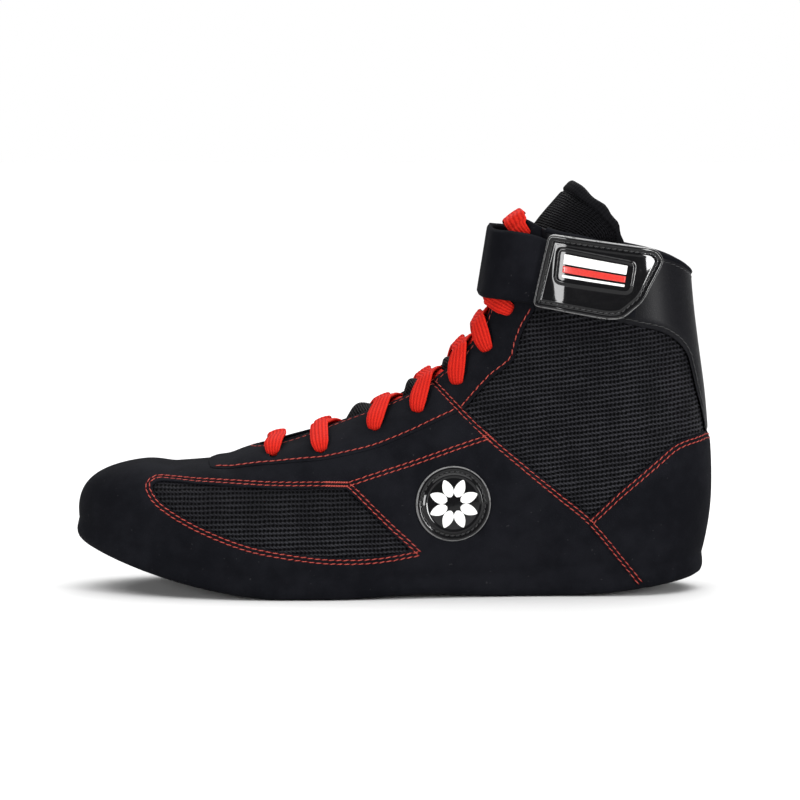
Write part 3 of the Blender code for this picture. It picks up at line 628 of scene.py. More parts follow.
def thicken(place, out, faces, low, high, roll=EDGE_ROLL):
    """A closed blank between two heights over a patch, with a rolled edge."""
    count = len(place)
    high = np.broadcast_to(np.asarray(high, float), count)
    low = np.broadcast_to(np.asarray(low, float), count)
    top = place + out * high[:, None]
    points = [top, place + out * low[:, None]]
    edges = rim_edges(faces)
    away = np.zeros((count, 3))
    for a, b in edges:
        aside = np.cross(top[b] - top[a], out[a])
        away[a] += aside
        away[b] += aside
    rim = sorted({corner for edge in edges for corner in edge})
    away = unit(away[rim])
    rows = [dict(zip(rim, rim))]
    first = 2 * count
    for push, share in roll:
        depth = high[rim] + (low[rim] - high[rim]) * share
        points.append(place[rim] + out[rim] * depth[:, None] + away * push)
        rows.append({corner: first + k for k, corner in enumerate(rim)})
        first += len(rim)
    rows.append({corner: count + corner for corner in rim})
    skirt = [[above[b], above[a], below[a], below[b]]
             for above, below in zip(rows[:-1], rows[1:]) for a, b in edges]
    under = [[count + corner for corner in reversed(face)] for face in faces]
    return np.vstack(points), faces + skirt + under


def rib_length(s, v_range):
    """Length of the wall between two heights of a rib."""
    return arc_lengths(wall(np.full(40, s), np.linspace(*v_range, 40)))[-1]


def cut_patch(ends, v_range, step, keep):
    """The part of the wall between two ribs where keep(x, z) is positive, about step millimetres fine."""
    s_range = [RIB_AT[end] for end in ends]
    if s_range[1] < s_range[0]:
        s_range[1] += LOOP
    columns = int((s_range[1] - s_range[0]) / step)
    rows = int(rib_length(np.mean(s_range), v_range) / step)
    s, v = np.meshgrid(np.linspace(*s_range, columns), np.linspace(*v_range, rows), indexing="ij")
    near = wall(s, v)
    return cut_grid(s, v, keep(near[..., 0], near[..., 2]))


print("tools ready: cut, thicken, add")

# %% [markdown]
# ## Shader maths as Python
#
# Materials are node trees, but long chains of Math nodes are hard to read. The class below wraps a
# socket, so that `1 - mask * 0.4` builds its own nodes. Numbers that are the same all over a surface
# stay on the shader's sockets, and only what varies is linked.


# %% A socket that can be used in sums
class Value:
    """A node's output that can be added, multiplied and mixed."""

    def __init__(self, tree, socket=None):
        self.tree = tree
        self.socket = socket

    def node(self, kind, settings=None, sockets=None, out=0):
        """A new node: its settings first, then the values or links of its sockets."""
        made = self.tree.nodes.new(kind)
        for name, value in (settings or {}).items():
            setattr(made, name, value)
        for name, value in (sockets or {}).items():
            if isinstance(value, Value):
                self.tree.links.new(value.socket, made.inputs[name])
            else:
                made.inputs[name].default_value = value
        return Value(self.tree, made.outputs[out])

    def math(self, operation, *values):
        return self.node("ShaderNodeMath", {"operation": operation}, dict(enumerate(values)))

    def __add__(self, other):
        return self.math("ADD", self, other)

    def __sub__(self, other):
        return self.math("SUBTRACT", self, other)

    def __rsub__(self, other):
        return self.math("SUBTRACT", other, self)

    def __mul__(self, other):
        return self.math("MULTIPLY", self, other)

    __radd__ = __add__
    __rmul__ = __mul__

    def wave(self, length):
        """Between 0 and 1, one swing for each length."""
        return self.math("COSINE", self * (2 * math.pi / length)) * 0.5 + 0.5

    def between(self, low, high):
        """0 below low, 1 above high, smooth between."""
        return self.node("ShaderNodeMapRange", {"interpolation_type": "SMOOTHSTEP"},
                         {"Value": self, "From Min": low, "From Max": high})

    def blend(self, dark, light):
        """A colour between two, by this value."""
        ends = [end if isinstance(end, Value) else (*end, 1.0) for end in (dark, light)]
        return self.node("ShaderNodeMix", {"data_type": "RGBA"}, {0: self, 6: ends[0], 7: ends[1]}, 2)

    def bump(self, distance, under=None):
        """A normal from this value as a height, that many metres deep."""
        sockets = {"Height": self, "Distance": distance, "Strength": 1.0}
        if under is not None:
            sockets["Normal"] = under
        return self.node("ShaderNodeBump", None, sockets)

    def place(self):
        """A spot's place in the shoe's own frame."""
        return self.node("ShaderNodeTexCoord", None, None, "Object")

    def parts(self):
        """The three numbers of a vector."""
        split = self.node("ShaderNodeSeparateXYZ", None, {"Vector": self})
        return [Value(self.tree, socket) for socket in split.socket.node.outputs]

    def noise(self, grain, detail=2.0, rough=0.5):
        """Noise with grains about that many metres across, in the shoe's own frame."""
        return self.node("ShaderNodeTexNoise", None, {"Vector": self.place(), "Scale": 1.0 / grain,
                                                      "Detail": detail, "Roughness": rough})

    def cloth(self):
        """The weave coordinates of a spot: along, across and a third number of the piece's own."""
        return self.node("ShaderNodeAttribute", {"attribute_name": "cloth"}, None, "Vector").parts()


def finish(name, recipe, **steady):
    """A material: steady numbers go on the shader's own sockets, the recipe links what varies."""
    made = bpy.data.materials.new(name)
    made.use_nodes = True
    shader = made.node_tree.nodes["Principled BSDF"]
    for socket, value in steady.items():
        shader.inputs[socket.replace("_", " ")].default_value = value
    for socket, value in recipe(Value(made.node_tree)).items():
        made.node_tree.links.new(value.socket, shader.inputs[socket])
    return made


print("shader tools ready")

# %% [markdown]
# ## Finishes
#
# Nubuck is leather sanded on the grain side: almost no gloss, a short nap that catches light at a low
# angle, and cloudy patches where it has been brushed. Sheen on the shader gives the glow of the nap,
# fine noise the nap itself, coarse noise the clouds.

# %% Nubuck
NUBUCK_DARK = (0.0036, 0.0038, 0.0051)
NUBUCK_LIGHT = (0.0076, 0.0079, 0.0101)
DUST = (0.035, 0.035, 0.037)


def nubuck_recipe(tool):
    clouds = tool.noise(0.034, 3.0)
    brushed = tool.noise(0.006, 3.0)
    nap = tool.noise(0.00045, 2.0, 0.7)
    dust = tool.noise(0.0012, 0.0).between(0.81, 0.87)
    tone = (clouds * 0.65 + brushed * 0.35).between(0.35, 0.66)
    colour = (tone * 0.8 + nap * 0.2).blend(NUBUCK_DARK, NUBUCK_LIGHT)
    return {"Base Color": (dust * 0.4).blend(colour, DUST),
            "Roughness": brushed * 0.14 + 0.78,
            "Normal": (nap + brushed * 1.5).bump(0.00012)}


nubuck = finish("black nubuck", nubuck_recipe, Specular_IOR_Level=0.02, Sheen_Weight=0.006,
                Sheen_Roughness=0.45)
print(nubuck.name)

# %% [markdown]
# The air mesh is knitted nylon: rows of bars about 2 mm apart with an open hole every 1.8 mm. Its holes
# are far smaller than a millimetre, so they are drawn by the weave coordinates of the piece: pits painted
# near black as shade in the holes, bars painted lighter as glints of smooth nylon. A slow noise pulls the
# rows out of line. The third weave coordinate says how much of the painted glint a spot shows.

# %% Air mesh
MESH_COLUMN = 1.8
MESH_ROW = 2.07
# The pit colour is painted shade inside the mesh's holes.
MESH_PIT_SHADE = (0.0007, 0.0007, 0.0009)
MESH_YARN = (0.0045, 0.0045, 0.0056)
# The bar colour below is a painted glint, not a yarn colour.
MESH_BAR_GLINT = (0.026, 0.026, 0.030)
# Tongue colours: the mesh's colours painted darker, as shade, since its upward face gets more light; its
# weave is also finer.
TONGUE_SHADED_YARN = (0.0020, 0.0020, 0.0025)
TONGUE_SHADED_GLINT = (0.0075, 0.0075, 0.009)
TONGUE_FINENESS = 1.7


def mesh_recipe(yarn, painted_glint, fineness):
    def recipe(tool):
        along, across, light = tool.cloth()
        along, across = along * fineness, across * fineness
        pull = tool.noise(0.007, 2.0) * 1.6 + tool.noise(0.0021, 1.0) * 0.5
        column = (along + pull).wave(MESH_COLUMN)
        row = (across + pull * 0.55).wave(MESH_ROW)
        pit = (column * row).between(0.22, 0.55)
        twist = (along * 0.9 + across * 1.1 + pull).wave(MESH_COLUMN * 0.9)
        bar = (1 - row) * (twist * 0.65 + 0.35)
        fray = tool.noise(0.0009, 2.0)
        slack = tool.noise(0.011, 2.0).between(0.3, 0.7)
        # Bar colour: painted glint, scaled by light, the third weave coordinate's painted-glint share.
        colour = ((bar * (slack * 0.5 + 0.55) + fray * 0.3).between(0.2, 0.95) * light).blend(yarn, painted_glint)
        height = bar * 0.9 - pit * 1.1 + fray * 0.2
        # Pits painted near black, as shade in the holes.
        return {"Base Color": pit.blend(colour, MESH_PIT_SHADE), "Roughness": pit * 0.35 + 0.42 + fray * 0.12,
                "Normal": height.bump(0.0004)}
    return recipe


air_mesh = finish("black air mesh", mesh_recipe(MESH_YARN, MESH_BAR_GLINT, 1.0), Specular_IOR_Level=0.04)
shaded_tongue_mesh = finish("black tongue mesh, painted darker", mesh_recipe(TONGUE_SHADED_YARN, TONGUE_SHADED_GLINT, TONGUE_FINENESS),
                     Specular_IOR_Level=0.03)
print(air_mesh.name, MESH_COLUMN, "by", MESH_ROW, "mm")

# %% [markdown]
# The collar cuff is smooth leather with a satin face, the trim is patent, which is leather under a thick
# clear film: a coat layer over black, with a slow wobble so that reflections break up as they do on film
# over a soft base. Near its edge the film is painted pale grey and rougher, in patches; the first weave
# coordinate of a patent piece is the distance to that edge.


# %% Smooth leather and patent
LEATHER_PORE = 0.0011
PATENT_EDGE = 0.6


def leather_recipe(tool):
    pores = tool.node("ShaderNodeTexVoronoi", {"feature": "DISTANCE_TO_EDGE"},
                      {"Vector": tool.place(), "Scale": 1 / LEATHER_PORE})
    soft = tool.noise(0.012, 2.0)
    grain = pores.between(0.0, 0.28)
    tone = soft * 0.6 + grain * 0.4
    return {"Base Color": tone.between(0.2, 0.8).blend((0.0030, 0.0030, 0.0041), (0.0055, 0.0055, 0.0070)),
            "Roughness": soft * 0.16 + 0.36 - grain * 0.05,
            "Normal": (grain + soft * 2.0).bump(0.00006)}


def patent_recipe(tool):
    edge, _, _ = tool.cloth()
    wobble = tool.noise(0.0045, 1.0)
    haze = tool.noise(0.0015, 2.0)
    film = haze.blend((0.002, 0.002, 0.0024), (0.004, 0.004, 0.0046))
    # This mask marks patches near the edge that are painted pale grey and made rougher.
    worn = (1 - edge.between(PATENT_EDGE * 0.6, PATENT_EDGE)) * haze.between(0.25, 0.45)
    return {"Base Color": worn.blend(film, (0.18, 0.18, 0.18)),
            "Roughness": haze * 0.08 + 0.1 + worn * 0.3, "Normal": wobble.bump(0.0003)}


leather = finish("smooth black leather", leather_recipe, Specular_IOR_Level=0.03, Coat_Weight=0.1,
                 Coat_Roughness=0.34)
patent = finish("black patent", patent_recipe, Specular_IOR_Level=0.03, Coat_Weight=0.5, Coat_Roughness=0.05)
print(leather.name, "and", patent.name)

# %% [markdown]
# Laces and thread are polyester. The flat lace is a tubular braid: five ribs run along it, and the
# yarns cross each rib in small chevrons; the grooves between ribs are painted darker, as shade. Thread
# is twisted, so it carries a fine slanted wave, painted lighter on its crests and darker between them as
# highlight and shade, and each stitch is painted darker where it dives into its hole, as shade, which the
# third weave coordinate tells.

# %% Lace, thread and print
LACE_RED = (0.49, 0.016, 0.008)
# The deep red is painted shade for the grooves between the ribs.
LACE_GROOVE_SHADE = (0.32, 0.007, 0.005)
LACE_RIBS = 5
BRAID_PITCH = 1.3


def lace_recipe(tool):
    along, across, _ = tool.cloth()
    rib = (across + 0.5 / LACE_RIBS).wave(1.0 / LACE_RIBS)
    lean = tool.math("PINGPONG", across, 0.5 / LACE_RIBS) * (BRAID_PITCH * LACE_RIBS * 1.1)
    yarn = (along + lean).wave(BRAID_PITCH)
    fuzz = tool.noise(0.0006, 2.0)
    # Painted shade: rib grooves and yarn chevrons darken towards the deep red; fuzz adds random tone.
    shade = (1 - rib) * 0.75 + yarn * 0.1 + fuzz * 0.3
    return {"Base Color": shade.between(0.1, 0.8).blend(LACE_GROOVE_SHADE, LACE_RED), "Roughness": fuzz * 0.2 + 0.6,
            "Normal": ((1 - rib) * 1.0 + yarn * 0.35 + fuzz * 0.4).bump(0.0003)}


def thread_recipe(hole, dark, light):
    def recipe(tool):
        along, around, end = tool.cloth()
        ply = (along + around * 0.9).wave(0.9)
        # The ply's wave is painted lighter on its crests and darker between them, as highlight and shade.
        twist = (ply * 0.6 + tool.noise(0.003, 1.0) * 0.4).blend(dark, light)
        # Each stitch is painted towards the hole colour at its ends, as shade where it dives into its hole.
        return {"Base Color": end.between(0.45, 0.8).blend(twist, hole), "Normal": ply.bump(0.00012)}
    return recipe


def print_recipe(dark, light):
    def recipe(tool):
        speck = tool.noise(0.0008, 2.0)
        return {"Base Color": speck.between(0.3, 0.7).blend(dark, light), "Normal": speck.bump(0.00003)}
    return recipe


WHITE_PRINT = ((0.72, 0.72, 0.70), (0.86, 0.86, 0.85))
RED_PRINT = ((0.48, 0.016, 0.010), (0.58, 0.024, 0.015))
# Thread colours: painted shade at the hole, then the ply's painted shade and painted highlight.
RED_THREAD = ((0.12, 0.003, 0.003), (0.24, 0.030, 0.024), (0.42, 0.085, 0.065))
BLACK_THREAD = ((0.002, 0.002, 0.002), (0.004, 0.004, 0.0045), (0.014, 0.014, 0.016))
lace_red = finish("red lace", lace_recipe, Specular_IOR_Level=0.05)
thread_red = finish("red thread", thread_recipe(*RED_THREAD), Roughness=0.6, Specular_IOR_Level=0.08)
thread_black = finish("black thread", thread_recipe(*BLACK_THREAD), Roughness=0.4)
print_white = finish("white print", print_recipe(*WHITE_PRINT), Roughness=0.3, Coat_Weight=0.4)
print_red = finish("red print", print_recipe(*RED_PRINT), Roughness=0.3, Coat_Weight=0.4)
print("lace, two threads, two prints")

# %% [markdown]
# Inside, a knitted lining and a cloth-faced insole; below, a thin rubber sole with a fine tread; round
# the tongue, a woven binding tape with ribs across it.


# %% Lining, binding, insole and sole
TREAD_PITCH = 0.0042


def lining_recipe(tool):
    knit = tool.noise(0.0012, 2.0)
    return {"Base Color": knit.between(0.3, 0.7).blend((0.004, 0.004, 0.005), (0.010, 0.010, 0.012)),
            "Normal": knit.bump(0.0002)}


def binding_recipe(tool):
    along, across, _ = tool.cloth()
    rib = along.wave(0.9) * 0.7 + across.wave(1.6) * 0.3
    # The tape is painted darker in the grooves between its ribs, as shade; the noise adds random tone.
    tone = rib * 0.6 + tool.noise(0.004, 2.0) * 0.4
    return {"Base Color": tone.blend((0.0018, 0.0018, 0.0022), (0.0055, 0.0055, 0.0066)),
            "Normal": rib.bump(0.00015)}


def rubber_recipe(tool):
    x, y, _ = tool.place().parts()
    tread = (x + y * 0.6).wave(TREAD_PITCH) * (x - y * 0.6).wave(TREAD_PITCH)
    dull = tool.noise(0.01, 3.0)
    return {"Base Color": dull.blend((0.008, 0.008, 0.009), (0.018, 0.018, 0.019)),
            "Roughness": dull * 0.2 + 0.5, "Normal": (tread.between(0.2, 0.5) + dull * 0.1).bump(0.0006)}


lining = finish("black lining", lining_recipe, Roughness=0.85, Specular_IOR_Level=0.1)
binding = finish("black binding", binding_recipe, Roughness=0.7, Specular_IOR_Level=0.03)
rubber = finish("black rubber", rubber_recipe, Specular_IOR_Level=0.3)
for node, worn in (("outsole", rubber), ("insole", lining)):
    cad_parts[node].data.materials.clear()
    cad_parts[node].data.materials.append(worn)
print("sole and insole finished")

# %% [markdown]
# ## The upper
#
# The upper is one leather shell. Its outside is cut open where the mesh shows, and its inside carries
# the lining. We make a fine grid for the outside, cut it along both windows on both sides, give the
# windows a short skirt down to the mesh, and close the shell over the top line and under the foot.

# %% Outside of the upper
UPPER_COLUMNS = 620
UPPER_ROWS = 112
RAND_ROWS = 16
WINDOW_DEPTH = 0.9

levels = np.concatenate([np.linspace(V_LOW, 0, RAND_ROWS, endpoint=False), np.linspace(0, 1, UPPER_ROWS)])
upper_s, upper_v = np.meshgrid(np.linspace(0, LOOP, UPPER_COLUMNS), levels, indexing="ij")
near = wall(upper_s, upper_v)
window = np.maximum.reduce([within(shape, near[..., 0], near[..., 2]) for shape in (LEAF, ANKLE)])
spots, outside = cut_grid(upper_s, upper_v, WINDOW_INSET - window)
place, out, _, _ = layer(*spots.T)
print("outside:", len(outside), "faces")

# %% Skirts round the windows, lining and joins
LINING_ROWS = 26


def close_upper(place, out, spots, faces):
    """Adds window skirts and the lined inside to the outside of the upper."""
    in_window = (V_LOW < spots[:, 1]) & (spots[:, 1] < 1) & (0 < spots[:, 0]) & (spots[:, 0] < LOOP)
    edges = [(a, b) for a, b in rim_edges(faces) if in_window[a] and in_window[b]]
    rim = sorted({corner for edge in edges for corner in edge})
    row = {corner: len(place) + k for k, corner in enumerate(rim)}
    skirt = [[b, a, row[a], row[b]] for a, b in edges]
    s = np.linspace(0, LOOP, UPPER_COLUMNS)
    rows = [layer(s, np.ones_like(s))[0]]
    for v in np.linspace(1, 0, LINING_ROWS):
        creased, way_out, _, _ = layer(s, np.full_like(s, v))
        rows.append(creased - way_out * UPPER_WALL)
    rows += [rim_point(s, inset, height) for inset, height in RAND_INSIDE[::-1]]
    rows.append(wall(s, V_LOW))
    inside = np.stack(rows, axis=1)
    lined = squares(*inside.shape[:2], first=len(place) + len(rim)).tolist()
    points = np.vstack([place, place[rim] - out[rim] * WINDOW_DEPTH, inside.reshape(-1, 3)])
    return points, faces + skirt + lined, len(faces) + len(skirt), len(lined)


points, faces, leather_count, lining_count = close_upper(place, out, spots, outside)
add_piece("upper_shell", points, faces, (nubuck, lining), ("upper",),
          kinds=[0] * leather_count + [1] * lining_count)

# %% [markdown]
# ## Mesh windows
#
# Behind each window lies a sheet of air mesh, a little larger than the opening and slightly crowned. It
# needs weave coordinates: along the shoe for the columns, up it for the rows. The forefoot rows lie level,
# the ankle rows rise towards the heel, as the panels were cut.

# %% Air mesh in the windows
MESH_STEP = 1.0
MESH_OVERLAP = 1.6
MESH_THICK = 0.7
MESH_CROWN = 0.5
MESH_CROWN_WIDTH = 9.0
MESH_FAINTEST_GLINT = 0.25
LEAF_SLANT = 0.03
ANKLE_SLANT = 0.14
# The last pair of each entry: heights in mm where the painted glint is faintest and where it is full.
WINDOWS = {
    "forefoot_mesh": (LEAF, ("toe tip", "lateral waist"), ("medial waist", "toe tip"), (0.0, 0.9),
                      LEAF_SLANT, (52, 22)),
    "ankle_mesh": (ANKLE, ("lateral midfoot", "heel back"), ("heel back", "medial midfoot"), (0.05, 1.0),
                   ANKLE_SLANT, (220, 60)),
}


def add_mesh(name, shape, ends, v_range, slant, painted_glint_range):
    """A sheet of mesh behind one window."""
    spots, faces = cut_patch(ends, v_range, MESH_STEP,
                             lambda x, z: within(shape, x, z) - WINDOW_INSET + MESH_OVERLAP)
    place, out, x, z = layer(*spots.T)
    depth = np.clip((within(shape, x, z) - WINDOW_INSET) / MESH_CROWN_WIDTH, 0, 1)
    points, faces = thicken(place, out, faces, -WINDOW_DEPTH - MESH_THICK,
                            -WINDOW_DEPTH + MESH_CROWN * np.sin(depth * math.pi / 2))
    # Painted glint share: full low in the window, falling to its least share higher up.
    faint_glint_z, full_glint_z = painted_glint_range
    painted_glint = np.clip((faint_glint_z - z) / (faint_glint_z - full_glint_z), 0, 1) * (1 - MESH_FAINTEST_GLINT) + MESH_FAINTEST_GLINT
    cloth = np.stack([x, z - slant * x, painted_glint], axis=1)
    spare = np.zeros((len(points) - 2 * len(cloth), 3))
    add_piece(name, points, faces, (air_mesh,), cloth=np.vstack([cloth, cloth, spare]))


for mesh_name, (shape, lateral_ends, medial_ends, *cut) in WINDOWS.items():
    add_mesh(f"{mesh_name}_lateral", shape, lateral_ends, *cut)
    add_mesh(f"{mesh_name}_medial", shape, medial_ends, *cut)

# %% [markdown]
# ## Sewn panels
#
# Eyestay, top eyestays, heel counter and collar cuff are blanks of leather on the upper. Each one is
# cut from a grid on the wall, follows the creases below it, and is pared thin towards its edge. The
# eyestays are punched for the laces.

# %% Panels
PANEL_STEP = 0.9
EYELET_RADIUS = 2.2
PANEL_BASE = 0.02
PANEL_TUCK = 0.7
PANEL_LOW_EDGE = -0.07
PANEL_FINISHES = {"black nubuck": nubuck, "smooth black leather": leather}
UPPER_CUTS = {
    "eyestay": (EYESTAY, ("medial midfoot", "lateral waist"), (0.5, 1.0), "black nubuck"),
    "top_eyestay_lateral": (TOP_EYESTAY, ("lateral midfoot", "lateral heel"), (0.3, 1.0), "black nubuck"),
    "top_eyestay_medial": (TOP_EYESTAY, ("medial heel", "medial midfoot"), (0.3, 1.0), "black nubuck"),
    "collar_cuff": (COLLAR_CUFF, ("lateral heel front", "medial heel front"), (0.3, 1.0),
                    "smooth black leather"),
    "heel_counter": (COUNTER, ("lateral waist", "medial waist"), (PANEL_LOW_EDGE, 0.75), "black nubuck"),
}


def punched(keep, x, z):
    """Takes the eyelets out of a panel."""
    for ex, ez in EYELETS:
        keep = np.minimum(keep, np.hypot(x - ex, z - ez) - EYELET_RADIUS)
    return keep


def add_panel(name, shape, ends, v_range, slot):
    """A leather blank sewn on the upper."""
    def keep(x, z):
        inside = within(shape, x, z)
        return punched(inside, x, z) if "eyestay" in name else inside

    spots, faces = cut_patch(ends, v_range, PANEL_STEP, keep)
    place, out, x, z = layer(*spots.T)
    tuck = 1 - PANEL_TUCK * np.minimum(spots[:, 1], 0) / PANEL_LOW_EDGE
    points, faces = thicken(place, out, faces, PANEL_BASE, panel_thick(within(shape, x, z)) * tuck)
    add_piece(name + "_leather", points, faces, (PANEL_FINISHES[slot],), (name,))


for panel_name, cut in UPPER_CUTS.items():
    add_panel(panel_name, *cut)

# %% [markdown]
# ## Stitching
#
# A lockstitch seam is a row of short thread humps that dive into the leather at both ends. Each hump is
# a small capsule; hundreds of them are placed from arrays along the seam and joined into one mesh.
# Double seams run two rows side by side. The humps lean a little, as thread does under tension.

# %% One row of stitches
STITCH_LEAN = math.radians(7)
STITCH_JITTER = 0.05
STITCH_AHEAD = 0.6
STITCH_SIDES = 6
STITCH_PROFILE = ((-0.5, 0.7, 0.0), (-0.38, 0.8, 0.1), (-0.22, 1.0, 0.3), (0.22, 1.0, 0.3),
                  (0.38, 0.8, 0.1), (0.5, 0.7, 0.0))
jitter = np.random.default_rng(11)


def stitch_mesh(path, out, pitch, length, radius):
    """Points, faces and thread coordinates of a row of stitches on a path, with the way out at each spot."""
    arc = arc_lengths(path)
    count = max(int(arc[-1] / pitch), 1)
    middles = (np.arange(count) + 0.5) * arc[-1] / count
    centre = on_line(middles, arc, path)
    up = unit(on_line(middles, arc, out))
    along = unit(on_line(middles + STITCH_AHEAD, arc, path) - on_line(middles - STITCH_AHEAD, arc, path))
    side = unit(np.cross(up, along))
    lean = STITCH_LEAN + jitter.normal(0, STITCH_JITTER, count)
    along, side = (along * np.cos(lean)[:, None] + side * np.sin(lean)[:, None],
                   side * np.cos(lean)[:, None] - along * np.sin(lean)[:, None])
    points, cloth = [], []
    for share, width, rise in STITCH_PROFILE:
        for k in range(STITCH_SIDES):
            a = 2 * math.pi * k / STITCH_SIDES
            reach = radius * width
            points.append(centre + along * (share * length) + side * (reach * math.cos(a))
                          + up * (radius * rise + reach * math.sin(a)))
            cloth.append(np.stack([middles + share * length, np.full(count, a * radius),
                                   np.full(count, 2 * abs(share))], axis=1))
    faces = turned(tube_faces(len(STITCH_PROFILE), STITCH_SIDES))
    size = len(points)
    every = np.stack(points, axis=1).reshape(-1, 3)
    marks = np.stack(cloth, axis=1).reshape(-1, 3)
    return every, [[corner + n * size for corner in face] for n in range(count) for face in faces], marks


def join(meshes):
    """Several meshes, with their thread coordinates, as one."""
    points, faces, cloth, first = [], [], [], 0
    for more_points, more_faces, more_cloth in meshes:
        points.append(more_points)
        cloth.append(more_cloth)
        faces += [[corner + first for corner in face] for face in more_faces]
        first += len(more_points)
    return np.vstack(points), faces, np.vstack(cloth)


def add_stitches(name, rows, thread):
    """Rows of stitches as one piece."""
    points, faces, cloth = join(rows)
    add_piece(name, points, faces, (thread,), cloth=cloth)


# %% Seams on the upper
DOUBLE_ROWS = (-0.85, 0.85)
SINGLE_ROW = (1.4,)
FRONT_SEAM_FOOT = (109.6, 5.9)
SEAMS = (
    (LEAF_LOWER, DOUBLE_ROWS), (LEAF_BACK, DOUBLE_ROWS), (QUARTER_SEAM, DOUBLE_ROWS),
    (FRONT_SEAM[:-1] + (FRONT_SEAM_FOOT,), DOUBLE_ROWS), (COUNTER_SEAM, DOUBLE_ROWS),
    (EYESTAY_LINE[1:], SINGLE_ROW), (TOP_EYESTAY_LINE, SINGLE_ROW),
)
BAR_TACKS = (((-30, 51.2), (-25, 51.1), (-20, 51.0)), ((40.2, 72.8), (42, 71.1), (43.8, 69.5)))
STITCH = (3.1, 3.2, 0.24)
TACK = (1.05, 1.6, 0.40)
FINE_STITCH = (3.1, 2.7, 0.17)
EDGE_ROW = 2.4
CUFF_ROW = 1.7


def sewn(spots, shift, stitch=STITCH):
    """A row of stitches (pitch, length, radius) that far to the left of a line of spots on the wall."""
    place, out, x, z = layer(*spots.T)
    aside = unit(np.cross(out, np.gradient(place, axis=0))) * shift
    lift = panel_lift(x + aside[:, 0], z + aside[:, 2])
    return stitch_mesh(place + aside + out * lift[:, None], out, *stitch)


def drawn(points, side):
    """Spots on the wall along a line of the side view."""
    return on_wall(smooth_run(points, 0.9), side)


def edge_row(ends):
    """A fine row along the top line, between two ribs."""
    s = np.linspace(*ends, 260)
    v = np.full_like(s, 1 - EDGE_ROW / rib_length(np.mean(ends), (0, 1)))
    return sewn(np.stack([s, v], axis=1), 0.0, FINE_STITCH)


counter_ends = [drawn(COUNTER_SEAM, side)[-1] for side in (-1, 1)]
heel_spots = np.linspace(*counter_ends, 40)
for side, side_name in ((-1, "lateral"), (1, "medial")):
    red_rows = [sewn(drawn(points, side), shift * -side) for points, shifts in SEAMS for shift in shifts]
    red_rows += [sewn(drawn(points, side), shift, TACK) for points in BAR_TACKS for shift in DOUBLE_ROWS]
    throat = (0.0, RIB_AT["lateral heel front"]) if side < 0 else (RIB_AT["medial heel front"], LOOP)
    red_rows.append(edge_row(throat))
    if side < 0:
        red_rows += [sewn(heel_spots, shift) for shift in DOUBLE_ROWS]
    add_stitches(f"red_stitching_{side_name}", red_rows, thread_red)
    collar = (RIB_AT["lateral heel"], HEEL_KNOT) if side < 0 else (HEEL_KNOT, RIB_AT["medial heel"])
    black_rows = [sewn(drawn(CUFF_LINE[1:-1], side), CUFF_ROW * -side), edge_row(collar)]
    add_stitches(f"black_stitching_{side_name}", black_rows, thread_black)

# %% [markdown]
# ## Tongue
#
# The tongue is a padded strip of mesh, bound with tape along its top edge. It is drawn as arcs across
# the throat, crowned in the middle and thin at the edges. Where the laces leave it free it swells, so
# each hump is placed one by one between two laces; at the top the binding tape lies in slack waves.

# %% Tongue
TONGUE = (
    (-69, 60.3, 12, 2.5), (-50, 63.0, 15, 4), (-30, 69.5, 16, 7), (-8, 78.5, 17, 9), (15, 89.5, 17.5, 12),
    (36, 107, 18.5, 15), (48.5, 126, 20.5, 18), (55, 144, 23.5, 22), (61, 161.5, 26, 27),
    (76, 179.8, 27.5, 33), (85.4, 188.2, 25.5, 33),
)
TONGUE_HUMPS = ((-38, 3.6, 6), (-12.5, 8, 8), (12, 8.5, 6), (28.5, 7, 4.5), (40, 4.5, 3.5))
TONGUE_THICK = 3.0
TONGUE_ROLL = 2.5
TONGUE_WRAP_ANGLE = math.radians(80)
TONGUE_ROWS = 190
TONGUE_COLUMNS = 44
TONGUE_TOP = 0.95
TONGUE_DROP = 0.104
TONGUE_SWELL = 0.070
TONGUE_RIPPLE = 0.004
TAPE_WIDTH = 6.4
TAPE_LIFT = 0.45
TAPE_WAVES = 19.0
TAPE_SLACK = 0.5
TAPE_SLACK_REACH = 14.0
TAPE_SEAM = TAPE_WIDTH + 0.4
TAPE_SEAM_DIP = -0.7
TAPE_SEAM_WIDTH = 0.7


def tongue_surface(u, w):
    """Middle layer of the tongue: u runs up it, w across it from -1 to 1."""
    rows = open_spline(TONGUE, 400)
    knots = np.linspace(0, 1, 400)
    x, z, half, wrap = (np.interp(u, knots, rows[:, k]) for k in range(4))
    ahead = unit(np.stack([np.interp(u, knots, np.gradient(rows[:, k])) for k in (0, 1)], axis=-1))
    inward = np.stack([ahead[..., 1], np.zeros_like(x), -ahead[..., 0]], axis=-1)
    turn = w * TONGUE_WRAP_ANGLE
    sideways = (half - TONGUE_THICK * 0.35) * np.sin(turn) / math.sin(TONGUE_WRAP_ANGLE)
    back = wrap * (1 - np.cos(turn)) / (1 - math.cos(TONGUE_WRAP_ANGLE)) + TONGUE_THICK / 2
    return np.stack([x, sideways, z], axis=-1) + back[..., None] * inward


